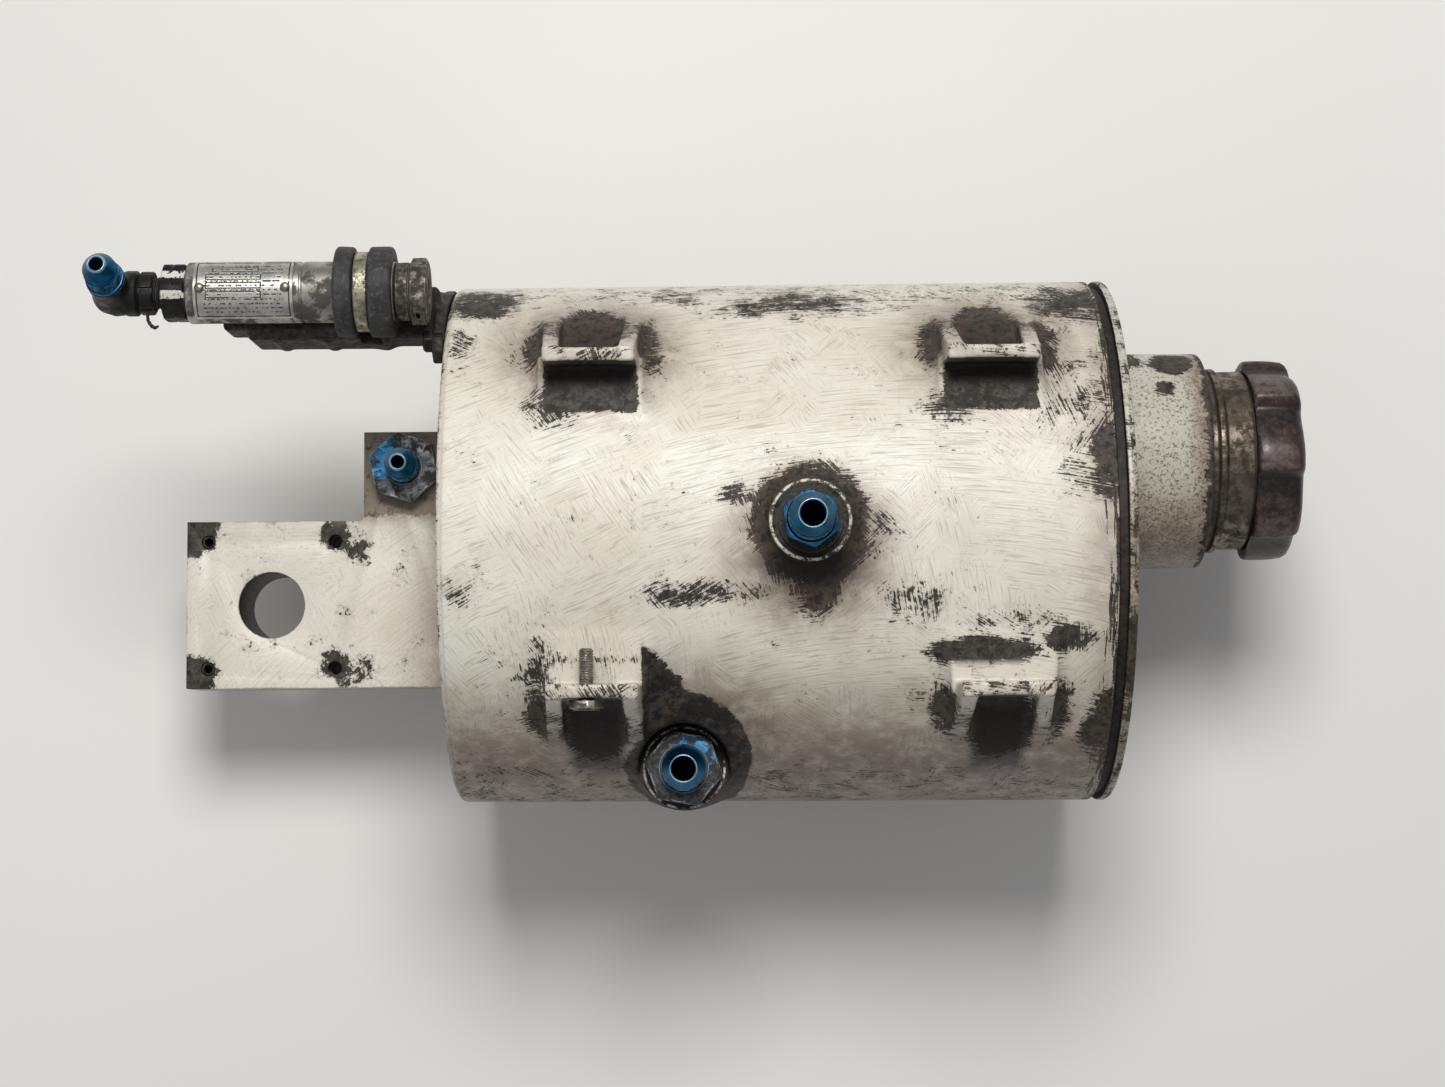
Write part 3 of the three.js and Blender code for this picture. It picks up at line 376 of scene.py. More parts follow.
def cast(name, field, lo, hi, cell):
    """A closed mesh of the surface on which a distance field is zero, by surface nets."""
    axes = [np.arange(lo[k], hi[k] + cell, cell) for k in range(3)]
    value = field(np.stack(np.meshgrid(*axes, indexing="ij"), -1))
    inside = value < 0
    size = [n - 1 for n in value.shape]
    part = {c: tuple(slice(c[k], c[k] + size[k]) for k in range(3)) for c in CORNERS}
    count = sum(inside[part[c]].astype(int) for c in CORNERS)
    cells = np.argwhere((count > 0) & (count < 8))
    number = -np.ones(size, int)
    number[tuple(cells.T)] = np.arange(len(cells))
    points = net_points(value, cells, cell, [a[0] for a in axes])
    for _ in range(4):
        points = settle(field, points, cell)
    return link(name, points, net_faces(inside, number))


def net_points(value, cells, cell, origin):
    total, hits = np.zeros((len(cells), 3)), np.zeros(len(cells))
    for k in range(3):
        for c in CORNERS:
            if c[k]:
                continue
            a_at = cells + c
            b_at = a_at + np.eye(3, dtype=int)[k]
            a, b = value[tuple(a_at.T)], value[tuple(b_at.T)]
            cross = (a < 0) != (b < 0)
            t = np.where(cross, a / np.where(cross, a - b, 1), 0)
            total += cross[:, None] * (a_at + t[:, None] * np.eye(3)[k])
            hits += cross
    return total / hits[:, None] * cell + np.array(origin)


def settle(field, points, cell):
    """Moves points towards the field's zero along its slope."""
    small = cell * 0.1
    here = field(points)
    slope = np.stack([field(points + small * np.eye(3)[k]) - here for k in range(3)], -1) / small
    steep = np.maximum((slope ** 2).sum(-1), 0.2)
    step = -(here / steep)[:, None] * slope
    length = np.linalg.norm(step, axis=1)[:, None]
    return points + step * np.minimum(1, 0.4 * cell / np.maximum(length, 1e-9))


def net_faces(inside, number):
    faces = []
    for k in range(3):
        other = [i for i in range(3) if i != k]
        low = tuple(slice(0, inside.shape[i] - 1) if i == k else slice(None) for i in range(3))
        high = tuple(slice(1, None) if i == k else slice(None) for i in range(3))
        edges = np.argwhere(inside[low] != inside[high])
        keep = np.all([(edges[:, i] > 0) & (edges[:, i] < inside.shape[i] - 1) for i in other], axis=0)
        edges = edges[keep]
        u, v = np.eye(3, dtype=int)[other[0]], np.eye(3, dtype=int)[other[1]]
        quad = np.stack([number[tuple((edges - a * u - b * v).T)] for a,
                         b in ((0, 0), (1, 0), (1, 1), (0, 1))], 1)
        faces.extend(quad.tolist())
    return faces


# ---------------------------------------------------------------- finishes
def tint(code):
    """A screen colour code as linear light."""
    parts = [int(code[i:i + 2], 16) / 255 for i in (0, 2, 4)]
    return [c / 12.92 if c <= 0.04045 else ((c + 0.055) / 1.055) ** 2.4 for c in parts] + [1.0]


class Value:
    """A node's output. Arithmetic on it makes the nodes that work it out."""

    def __init__(self, finish, socket):
        self.finish, self.socket = finish, socket

    def __add__(self, other):
        return self.finish.math("ADD", self, other)

    def __sub__(self, other):
        return self.finish.math("SUBTRACT", self, other)

    def __rsub__(self, other):
        return self.finish.math("SUBTRACT", other, self)

    def __mul__(self, other):
        return self.finish.math("MULTIPLY", self, other)

    def __truediv__(self, other):
        return self.finish.math("DIVIDE", self, other)

    def __abs__(self):
        return self.finish.math("ABSOLUTE", self)


class Finish:
    """A material under construction. Lengths in its nodes are millimetres."""

    def __init__(self, name):
        self.material = bpy.data.materials.new(name)
        self.material.use_nodes = True
        self.tree = self.material.node_tree
        self.shader = self.tree.nodes["Principled BSDF"]
        self.place = self.vector("SCALE", self.node("TexCoord", out="Object"), Scale=1 / MM)
        self.height = None

    def feed(self, socket, value):
        if isinstance(value, Value):
            self.tree.links.new(value.socket, socket)
        else:
            socket.default_value = value

    def node(self, kind, feeds=(), out=0, **settings):
        """An output of a new node, its inputs fed by number or name."""
        made = self.tree.nodes.new("ShaderNode" + kind)
        for key, value in settings.items():
            setattr(made, key, value)
        for key, value in dict(feeds).items():
            self.feed(made.inputs[key], value)
        return Value(self, made.outputs[out])

    def math(self, operation, a, b=0.0):
        return self.node("Math", {0: a, 1: b}, operation=operation)

    def vector(self, operation, a, b=(0, 0, 0), **scale):
        out = "Value" if operation in ("LENGTH", "DOT_PRODUCT") else "Vector"
        return self.node("VectorMath", {0: a, 1: b, **scale}, out, operation=operation)

    def xyz(self, place=None):
        parts = self.node("SeparateXYZ", {0: place or self.place}).socket.node.outputs
        return [Value(self, part) for part in parts]

    def join(self, x, y, z):
        return self.node("CombineXYZ", {0: x, 1: y, 2: z})

    def noise(self, size, detail=3.0, rough=0.55, place=None):
        feeds = {"Vector": place or self.place, "Scale": 1 / size, "Detail": detail, "Roughness": rough}
        return self.node("TexNoise", feeds, "Fac")

    def step(self, value, low, high):
        """0 to 1, smoothly, while the value goes from low to high."""
        feeds = {"Value": value, "From Min": low, "From Max": high}
        return self.node("MapRange", feeds, interpolation_type="SMOOTHSTEP")

    def cloud(self, size, low, high, detail=4, rough=0.6, place=None):
        """Patches of noise, 0 below one level and 1 above another."""
        return self.step(self.noise(size, detail, rough, place), low, high)

    def mix(self, share, a, b):
        a, b = (tint(c) if isinstance(c, str) else c for c in (a, b))
        return self.node("Mix", {0: share, 6: a, 7: b}, 2, data_type="RGBA")

    def blend(self, share, a, b):
        return self.node("Mix", {0: share, 2: a, 3: b}, data_type="FLOAT")

    def most(self, *values):
        top = values[0]
        for value in values[1:]:
            top = self.math("MAXIMUM", top, value)
        return top

    def zone(self, centre, reach, soft=0.5):
        """1 inside an ellipsoid of the given reach, falling to 0 over the soft share of it."""
        off = self.vector("DIVIDE", self.vector("SUBTRACT", self.place, centre), reach)
        return self.step(self.vector("LENGTH", off), 1 + soft, max(0.0, 1 - soft))

    def panel(self, centre, half, soft=1.5):
        """1 inside a box of the given half sizes, falling to 0 over its soft edge."""
        shares = [self.step(abs(value - middle), reach + soft, reach - soft)
                  for value, middle, reach in zip(self.xyz(), centre, half)]
        return shares[0] * shares[1] * shares[2]

    def away(self, centre, axis):
        """The distance from an axis through the centre."""
        off = self.vector("SUBTRACT", self.place, centre)
        return self.vector("LENGTH", self.vector("CROSS_PRODUCT", off, axis))

    def hoop(self, centre, axis, radius, half):
        """1 on a band of one radius round an axis."""
        return self.step(abs(self.away(centre, axis) - radius), half, half * 0.4)

    def edges(self, radius, low=0.01, high=0.12):
        """1 on the piece's edges, from the way its surface turns within the radius."""
        soft = self.node("Bevel", {"Radius": radius * MM}, samples=RAYS)
        flat = self.node("NewGeometry", out="Normal")
        return self.step(1.0 - self.vector("DOT_PRODUCT", soft, flat), low, high)

    def corner_shade(self, distance, low=0.25, high=0.85):
        """1 deep in corners and recesses, 0 in the open: the mask for painted shade there."""
        near = self.node("AmbientOcclusion", {"Distance": distance * MM}, "AO", samples=RAYS)
        return self.step(near, high, low)

    def raise_by(self, height, depth):
        """Adds relief: height from 0 to 1, times the depth."""
        amount = height * depth
        self.height = amount if self.height is None else self.height + amount

    def done(self, colour, rough, metal=0.0, specular=0.5):
        feeds = {"Base Color": colour, "Roughness": rough, "Metallic": metal, "Specular IOR Level": specular}
        if self.height is not None:
            feeds["Normal"] = self.node("Bump", {"Distance": MM, "Height": self.height})
        for key, value in feeds.items():
            self.feed(self.shader.inputs[key], value)
        return self.material


def arcs(f, place, centre, across=0.62, along=11.0):
    """Fine brush marks that run in arcs round a far centre in the place's X and Y."""
    x, y, _ = f.xyz(f.vector("SUBTRACT", place, (*centre, 0)))
    away = f.vector("LENGTH", f.join(x, y, 0.0))
    turn = f.math("ARCTAN2", y, x) * (math.hypot(*centre) / along)
    return f.noise(1.0, 3, 0.62, f.join(turn, away / across, 0.0))


def tank_wrap(f):
    """The tank's surface unrolled, X along the axis and Y round it, and its blank end laid flat."""
    x, y, z = f.xyz()
    height = z - AXIS_Z
    rolled = f.join(x, f.math("ARCTAN2", y, height) * TANK_OPEN_R, f.vector("LENGTH", f.join(0.0, y, height)))
    return f.mix(f.step(x, TANK.x0 + 2.2, TANK.x0 + 1.4), rolled, f.join(height, y, x))


def cover_wrap(f):
    """The cover as it lies, but with its flat face laid in X and Y."""
    x, y, z = f.xyz()
    off_neck = f.step(f.away((0, KNOB.y, AXIS_Z), (1, 0, 0)), 38, 41)
    on_face = f.step(x, TANK.x1 + 4.4, TANK.x1 + 5.2) * off_neck
    return f.mix(on_face, f.place, f.join(z - AXIS_Z, y, x))


def flat_place(f):
    return f.place


def stroke_marks(f, place):
    """Brush marks in four directions, one giving way to another over the surface."""
    steep, level = arcs(f, place, (-190, -60)), arcs(f, place, (40, -260), along=14)
    rising, falling = arcs(f, place, (-170, 210)), arcs(f, place, (190, 170), along=9)
    first = f.cloud(30, 0.44, 0.54, 2, 0.5, place)
    second = f.cloud(24, 0.48, 0.57, 2, 0.5, f.vector("ADD", place, (70, 30, 9)))
    third = f.cloud(27, 0.47, 0.56, 2, 0.5, f.vector("ADD", place, (-50, 90, 31)))
    return f.blend(third, f.blend(second, f.blend(first, steep, rising), falling), level)


def enamel(name, place_of, wear_of, grime_and_shade_of, soot_and_shade_of, bright_of=None, bright="d6d2c5", stroke=1.0,
           speckle=0.0, dull=0.0, torn=0.35):
    """Cream brush-painted enamel: fine brush marks, chips down to dark bare metal, brown dirt, and painted
    shade in corners and pockets.
    """
    f = Finish(name)
    place = place_of(f)
    marks = stroke_marks(f, place)
    hatch = f.step(marks, 0.36, 0.64)
    ragged = f.cloud(9, 0.3, 0.7, 9, 0.74, place)
    pattern = ragged * (0.8 - torn) + hatch * torn + f.cloud(1.4, 0.3, 0.7, 3, 0.7) * 0.2
    over = wear_of(f) - pattern
    chip = f.step(over, -0.02, 0.03)

    cream = f.mix(f.cloud(42, 0.35, 0.68, 3, 0.5), "e4e0d3", "dad5c5")
    cream = f.mix(f.cloud(15, 0.5, 0.75) * 0.4, cream, "cdc5b2")
    scored = f.step(marks, 0.5, 0.66) * stroke
    cream = f.mix(scored * 0.5, cream, "958d7f")
    cream = f.mix(f.step(marks, 0.46, 0.36) * stroke * 0.35, cream, "f1eee4")
    cream = f.mix(f.step(over, -0.22, 0.0) * 0.4, cream, "877e71")
    cream = f.mix(dull, cream, "a3a196")
    grime_and_shade = grime_and_shade_of(f)
    if speckle:
        dots = f.step(f.noise(1.0, 4, 0.75) + grime_and_shade * 0.06, 0.53, 0.62)
        cream = f.mix(dots * speckle, cream, "4d473d")
    # Brown tones from the grime mask, which also darkens towards the bottom and the -Y side: dirt and painted
    # shade.
    cream = f.mix(grime_and_shade * 0.42, cream, "947d66")
    cream = f.mix(grime_and_shade * f.cloud(8, 0.28, 0.6, 6, 0.7) * 0.7, cream, "675340")
    cream = f.mix(f.math("POWER", grime_and_shade, 3) * 0.34, cream, "4c3d30")
    # Painted shade in corners and recesses.
    cream = f.mix(f.corner_shade(7.0) * 0.65, cream, "4f4337")

    bare = f.mix(f.cloud(2.2, 0.35, 0.68, 5, 0.75), "2e2a25", "555047")
    bare = f.mix(f.cloud(6, 0.44, 0.6, 4, 0.65) * grime_and_shade * 0.8, bare, "574839")
    bare = f.mix(f.cloud(3.4, 0.52, 0.6, 5, 0.75) * 0.8, bare, "1f1a15")
    # Painted shade, near black, in the bare metal's corners and recesses.
    bare = f.mix(f.corner_shade(8.0, 0.15, 0.75) * 0.9, bare, "0d0a08")
    # Near black where the soot mask is set: mostly painted shade in pockets and under overhangs, with some
    # oily soot.
    colour = f.mix(soot_and_shade_of(f), f.mix(chip, cream, bare), "120e0b")
    if bright_of:
        colour = f.mix(bright_of(f), colour, bright)

    f.raise_by(hatch, 0.035 * stroke)
    f.raise_by(1.0 - chip, 0.07)
    f.raise_by(f.noise(1.6, 4, 0.65), 0.03)
    return f.done(colour, f.blend(chip, f.blend(scored, 0.34, 0.5), 0.64), chip * 0.25, 0.42)


def metal(name, light, dark, dirt, edge=None, rough=(0.35, 0.55), size=4.0, dirt_size=6.0,
          dirt_at=(0.5, 0.62),
          edge_radius=0.5, shine=1.0, relief=0.02, strokes=None):
    """Worn metal: two tones of cloud, dirt in patches, painted shade in corners, and brighter rubbed edges.
    """
    f = Finish(name)
    cloud = f.cloud(size, 0.36, 0.66, 4, 0.62)
    # Dirt in patches, and painted shade in corners.
    soil_and_shade = f.most(f.cloud(dirt_size, *dirt_at, 5, 0.7) * 0.85, f.corner_shade(4.0) * 0.9)
    colour = f.mix(soil_and_shade, f.mix(cloud, light, dark), dirt)
    if edge:
        colour = f.mix(f.edges(edge_radius) * f.cloud(1.5, 0.35, 0.55, 3) * 0.8, colour, edge)
    if strokes:
        paint = painted_strokes(f)
        colour = f.mix(paint, colour, strokes)
        soil_and_shade = f.most(soil_and_shade, paint)
    f.raise_by(f.noise(0.9, 4, 0.7), relief)
    f.raise_by(soil_and_shade, relief)
    return f.done(colour, f.blend(soil_and_shade, f.blend(cloud, *rough), 0.8), f.blend(soil_and_shade, shine, 0.15 * shine))


def painted_strokes(f):
    """Two dabs of paint across the adapter's hexagon."""
    _, y, z = f.xyz()
    off = abs(abs(y - (VALVE.y + 1.5)) - 3.4)
    on_hex = f.step(z, VALVE.z + 5.6, VALVE.z + 6.2) * f.step(off, 1.5, 1.1)
    return f.step(f.noise(1.2, 3, 0.6) - off * 0.12, 0.34, 0.38) * on_hex


def nose_rims(f):
    """The rubbed rims round the nipples' bores."""
    lean = math.radians(ELBOW_TILT)
    knee = (Span("valve_elbow").x1 - KNEE_BACK, VALVE.y, VALVE.z)
    axes = [((CENTRE.x, CENTRE.y, 0), UP, AN6), ((LOWER.x, LOWER.y, 0), UP, AN6),
            ((BLOCK_FITTING.x, BLOCK_FITTING.y, 0), UP, AN4),
            (knee, (0, math.sin(lean), math.cos(lean)), AN4)]
    return f.most(*(f.hoop(centre, axis, size["bore"] + size["rim"], size["rim"] * 0.68)
                    for centre, axis, size in axes))


def anodised(name, deep, light, rub):
    """Blue anodised aluminium, with painted shade in its corners and rubbed bright along its edges and rims.
    """
    f = Finish(name)
    cloud = f.cloud(3.5, 0.35, 0.7, 3, 0.55)
    # Painted shade, dark blue-black, in corners.
    colour = f.mix(f.corner_shade(3.0) * 0.75, f.mix(cloud, deep, light), "08131a")
    bright = f.edges(0.35, 0.02, 0.14) * f.cloud(1.1, 0.4, 0.55, 3, 0.65)
    colour = f.mix(f.most(bright, nose_rims(f) * 0.7), colour, rub)
    f.raise_by(f.noise(0.8, 3, 0.6), 0.012)
    return f.done(colour, f.blend(cloud, 0.3, 0.44), 0.9)


def rubber(name, tone, worn):
    """Rubber with a matt skin and pale dust on what stands proud."""
    f = Finish(name)
    pale = f.cloud(1.4, 0.5, 0.7, 4, 0.7) * 0.25
    colour = f.mix(pale, f.mix(f.cloud(5, 0.35, 0.7), tone, worn), "8c857d")
    colour = f.mix(f.edges(0.6) * 0.5, colour, "77716a")
    f.raise_by(f.noise(0.7, 4, 0.7), 0.03)
    return f.done(colour, f.blend(pale, 0.62, 0.85), specular=0.35)


def knob_moulding(name):
    """Dark reddish-brown moulding: grey painted highlights on its lobes, dirt and painted shade in its
    valleys, painted shade in its corners.
    """
    f = Finish(name)
    scuff = f.cloud(1.8, 0.44, 0.64, 5, 0.75)
    colour = f.mix(scuff * 0.26, f.mix(f.cloud(7, 0.35, 0.68), "35241f", "1e1513"), "6b5d58")
    away = f.away((0, KNOB.y, AXIS_Z), (1, 0, 0))
    # Painted highlight: grey on the lobes' crests.
    proud = f.step(away, KNOB_LOBE - 1.1, KNOB_LOBE - 0.15)
    colour = f.mix(proud * f.cloud(3.4, 0.36, 0.58, 5, 0.7) * 0.5, colour, "766b68")
    # Near black in the valleys: dirt and painted shade.
    colour = f.mix(f.step(away, KNOB_VALLEY + 1.3, KNOB_VALLEY) * 0.75, colour, "100b0a")
    # Painted shade in corners.
    colour = f.mix(f.corner_shade(5.0) * 0.8, colour, "0f0a09")
    f.raise_by(f.noise(1.2, 4, 0.7), 0.03)
    f.raise_by(f.noise(6, 2, 0.5), 0.08)
    return f.done(colour, f.blend(scuff, 0.34, 0.55), specular=0.55)


def part_blue_nut(name):
    """A nut that was once blue: mostly worn silver-grey, with pale blue left on some faces."""
    f = Finish(name)
    colour = f.mix(f.cloud(2.6, 0.36, 0.66, 4, 0.62), "85868a", "55575a")
    # Darker towards -Y, away from the light: painted shade.
    colour = f.mix(f.step(f.xyz()[1], -30, -60) * 0.6, colour, "2c2e31")
    kept = f.most(f.zone((LOWER.x + 7, LOWER.y + 8, LOWER_FACE + 4), (9, 8, 30), 0.6),
                  f.zone((BLOCK_FITTING.x - 8.5, BLOCK_FITTING.y + 3, BLOCK.z1 + 4), (5, 8, 30)))
    colour = f.mix(f.step(f.noise(4.5, 5, 0.7) - kept * 0.2, 0.4, 0.35), colour, "3a86b8")
    # Dirt in patches, and painted shade in corners.
    soil_and_shade = f.most(f.cloud(3.0, 0.47, 0.56, 5, 0.75) * 0.85, f.corner_shade(4.0) * 0.9)
    scuff = f.edges(0.6, 0.004, 0.05) * f.cloud(1.5, 0.32, 0.48, 3)
    colour = f.mix(scuff * 0.8, f.mix(soil_and_shade, colour, "2f2821"), "c9d2d8")
    f.raise_by(f.noise(0.9, 4, 0.7), 0.03)
    return f.done(colour, f.blend(soil_and_shade, 0.42, 0.8), f.blend(soil_and_shade, 0.75, 0.1))


def nameplate_metal(name):
    """An etched plate: a ruled border, plain ruled rows and empty framed boxes, worn through in places."""
    f = Finish(name)
    plate = Span("valve_nameplate")
    x, y, z = f.xyz()
    u = x - plate.x
    v = f.math("ARCTAN2", y - VALVE.y, z - VALVE.z) * VALVE_R

    def off_frame(cu, cv, hu, hv):
        return f.most(abs(u - cu) - hu, abs(v - cv) - hv)

    half, row = (plate.x1 - plate.x0) / 2, 1.38
    boxes = [off_frame(-2.5, 6.1, 7.2, 0.75), *(off_frame(-3, cv, 8.7, 0.85) for cv in (3.4, 0.6, -2.2))]
    border = f.step(abs(off_frame(0, 0, half - 1.1, 9.4)), 0.32, 0.14)
    frames = [f.step(abs(box), 0.28, 0.1) for box in boxes]
    filled = f.most(*(f.step(box, 0.0, -0.15) for box in boxes))
    wave = abs(f.math("FRACT", (v + 0.14) / row) - 0.5)
    rules = f.step(wave, 0.26, 0.14) * f.step(off_frame(0, 0, half - 3.2, 8.2), 0.1, 0.0)
    broken = f.cloud(1.0, 0.49, 0.53, 2, 0.5, f.vector("DIVIDE", f.join(u, v, 0.0), (0.8, row, 1.0)))
    ink = f.most(border, *frames, rules * broken * 0.95) * f.cloud(4.0, 0.32, 0.42, 4, 0.7)
    colour = f.mix(filled * 0.7, f.mix(f.cloud(6, 0.36, 0.66), "d0cdc6", "aaa79f"), "d6d3cb")
    # Dirt in patches, and painted shade in corners.
    soil_and_shade = f.most(f.cloud(5, 0.58, 0.7, 5, 0.72), f.corner_shade(2.5) * 0.9)
    colour = f.mix(soil_and_shade * 0.7, f.mix(ink * 0.95, colour, "1f1c1a"), "453f38")
    f.raise_by(1.0 - ink, 0.05)
    f.raise_by(f.noise(0.8, 3, 0.6), 0.012)
    worn = f.most(ink, soil_and_shade)
    return f.done(colour, f.blend(worn, 0.34, 0.7), f.blend(worn, 0.85, 0.2))


# Where the paint has gone, from 0 for whole to 1 for bare.
def spots(f, *rows):
    """Soft ellipsoids: x, y, the height over the tank's axis, the reach, the softness and the level."""
    return [f.zone((x, y, AXIS_Z + z), reach, soft) * level for x, y, z, reach, soft, level in rows]


def plates(f, *rows):
    """Soft boxes, given in the same way."""
    return [f.panel((x, y, AXIS_Z + z), half, soft) * level for x, y, z, half, soft, level in rows]


def lug_zones(f):
    """Wear round the four lugs: bare floors and pockets, ragged flanks and plates chipped on top."""
    found = []
    for lug in LUGS.values():
        x, side = lug.x, 1 if lug.y > 0 else -1
        flanks = ((x + way * 17.5, side * 57, 66, (5.5, 12, 16), 0.8, 0.78) for way in (-1, 1))
        found += spots(f, (x, side * 58, 70, (27, 20, 20), 0.7, 0.46),
                       (x, side * 63, 66, (11.5, 12, 30), 0.45, 0.98), *flanks)
        if lug.y > 0:
            # The upper plates' front faces go dark bare: partly wear, partly painted shade.
            found += plates(f, (x, 42, 80, (15, 7.0, 6), 1.4, 0.9),
                            (x, 49.2, 83.5, (14.5, 1.5, 8.6), 0.4, 0.95),
                            (x, 52.2, TOP, (15, 3, 2), 0.8, 0.4))
            found += spots(f, (x - 12, 37, 79, (11, 8, 7), 0.8, 0.6))
        else:
            found += plates(f, (x, -52.2, TOP, (15, 3, 2), 0.8, 0.44), (x, -42, 79, (15, 1.6, 6), 1.6, 0.5))
    left, right = LUGS["lug_lower_left"].x, LUGS["lug_lower_right"].x
    return found + spots(
        f, (right - 7, -40.5, 79, (18, 5, 8), 0.5, 0.9), (right + 21, -36, 79, (9, 5, 8), 0.6, 0.75),
        (right + 5, -31, 82, (16, 5, 8), 0.9, 0.5), (left - 16, -46, 76, (8, 12, 12), 0.8, 0.55))


def port_zones(f):
    """Bare rings round the bosses, and the smooth dark ramp between a lug and the lower boss, its dark bare
    metal partly painted shade.
    """
    foot = TOP - 6
    rings = spots(
        f, (CENTRE.x, CENTRE.y - 0.5, foot, (18.6, 19.6, 16), 0.32, 1.0),
        (CENTRE.x + 1, -21, foot, (8, 10, 12), 0.6, 0.75), (CENTRE.x - 21, 8, foot, (9, 4, 12), 0.7, 0.55),
        (CENTRE.x + 20, -4, foot, (8, 8, 12), 0.7, 0.5),
        (LOWER.x, LOWER.y, LOWER_FACE - AXIS_Z, (19, 19, 30), 0.2, 1.1))
    return [*rings, ramp(f) * 1.1]


def ramp(f):
    """1 on the slope between the lower left lug's flank and the lower boss, with a tongue below the boss."""
    x, y, z = f.xyz()
    flank = LUGS["lug_lower_left"].x + LUG_HALF + 2
    lean = (x - (flank + 2)) * 0.6 + (y + 40) * 0.8
    torn = (f.noise(7, 5, 0.7) - 0.5) * 7
    inside = f.step(lean + torn, 2.5, -2.5)
    near = f.step(f.away((LOWER.x, LOWER.y + 3, 0), UP) + torn * 0.4, 22.5, 20.5)
    end = f.most(f.step(x, LOWER.x + 2, LOWER.x - 2), near)
    tongue = f.zone((LOWER.x + 2, LOWER.y, LOWER_FACE), (20, 400, 36), 0.3)
    above = f.most(tongue, f.step(z, LOWER_FACE - 4, LOWER_FACE + 2))
    return inside * above * (f.step(x, flank - 2, flank) * end)


def tank_soot_and_shade(f):
    """Near black in the lugs' pockets, under the centre boss and along the ramp's edges: painted shade,
    broken into oily patches on the upper lugs' floors and along the ramp.
    """
    uppers = [lug.x for lug in LUGS.values() if lug.y > 0]
    lowers = [lug.x for lug in LUGS.values() if lug.y < 0]
    oily = f.cloud(6, 0.5, 0.56, 5, 0.7)
    pockets = plates(f, *((x, -66, 60, (8.5, 11, 40), 2.5, 0.88) for x in lowers),
                     *((x, 61, 60, (8.5, 5.5, 40), 3.0, 0.4) for x in uppers),
                     *((x, 47.4, 78, (14, 3.4, 6), 2.0, 0.85) for x in uppers))
    floors = plates(f, *((x, 42, 78, (14, 6.5, 6), 1.0, 0.7) for x in uppers))
    below, seat = spots(f, (CENTRE.x + 1, CENTRE.y - 14.5, TOP - 4, (15, 6.5, 12), 0.5, 0.85),
                        (CENTRE.x + 2, CENTRE.y - 8, TOP, (10, 5, 3), 0.4, 0.85))
    seat = seat * f.step(f.away((CENTRE.x, CENTRE.y, 0), UP), 11.9, 11.5)
    edge = ramp(f) * f.cloud(9, 0.46, 0.56, 4, 0.65) * 0.7
    return f.most(*pockets, *(patch * oily for patch in floors), below, seat, edge)


def tank_wear(f):
    x, y, _ = f.xyz()
    left, right = TANK.x0, TANK.x1
    chipped = spots(
        f, (left + 10, 76, 42, (13, 9, 20), 0.8, 0.8), (left + 6, 58, 64, (5, 12, 14), 0.8, 0.5),
        (right - 8, 74, 46, (16, 11, 26), 0.7, 0.72), (left + 112, 75, 46, (34, 7, 24), 0.9, 0.62),
        (left + 82, -22, 84, (20, 4.5, 12), 0.8, 0.62), (left + 8, -19, 83, (9, 8, 12), 0.8, 0.42),
        (left + 150, -25, 83, (14, 9, 12), 0.8, 0.48), (left + 28, -50, 72, (12, 10, 16), 0.8, 0.42),
        (right - 12, 34, 80, (14, 34, 20), 0.8, 0.4), (right - 3, 19, 84, (6, 17, 12), 0.6, 0.8),
        (right - 3, -64, 58, (7, 14, 20), 0.6, 0.8))
    streaks = f.noise(1.0, 5, 0.7, f.vector("DIVIDE", tank_wrap(f), (1.4, 20.0, 8.0)))
    seam = f.step(x + (streaks - 0.5) * 26, right - 3.6, right + 0.9)
    brow = f.step(abs(y - 79), 12, 2) * 0.36
    rim = f.step(x, left + 2.5,
                 left - 0.5) * (f.step(f.away((0, 0, AXIS_Z), (1, 0, 0)), 62, 85) * 0.27 + 0.23)
    low = f.step(y, -58, -86) * 0.36
    return f.most(*chipped, *port_zones(f), *lug_zones(f), seam, brow, rim, low, 0.13)


def tank_grime_and_shade(f):
    x, y, z = f.xyz()
    places = [(lug.x, lug.y * 1.05 if lug.y > 0 else -76, 62, (27, 22, 30), 0.6,
               1.0) for lug in LUGS.values()]
    around = spots(f, (LOWER.x + 5, LOWER.y + 6, LOWER_FACE - AXIS_Z, (36, 32, 44), 0.5, 1.0),
                   (CENTRE.x, -10, TOP - 4, (24, 26, 14), 0.5, 1.0), *places)
    # Darker towards -Y and towards the bottom: painted shade as well as grime; grime round the bosses, the
    # lugs and the filler end.
    return f.most(f.step(y, -38, -80), f.step(z, AXIS_Z + 5, AXIS_Z - 60), *around,
                  f.step(x, TANK.x1 - 16, TANK.x1 + 1) * 0.6)


def tank_bright(f):
    """Rubbed rims of the two bosses, and the lower lugs' bright lands."""
    z = f.xyz()[2]
    top = f.hoop((CENTRE.x, CENTRE.y, 0), UP, 12.3, 0.62) * f.step(z, FACE_Z - 1.6, FACE_Z - 0.8)
    low = f.hoop((LOWER.x, LOWER.y, 0), UP, 13.0, 0.5) * f.step(abs(z - LOWER_FACE), 1.5, 0.4)
    left, right = LUGS["lug_lower_left"].x, LUGS["lug_lower_right"].x
    lands = plates(f, (left, -46.6, 78, (13.5, 3.0, 7), 1.2, 0.8),
                   (right - 2, -46.6, 78, (15.0, 3.0, 7), 1.2, 0.8))
    whole = f.cloud(4, 0.36, 0.46, 6, 0.75)
    return f.most(f.most(top, low) * f.cloud(3.2, 0.44, 0.56, 5, 0.75), *(land * whole for land in lands))


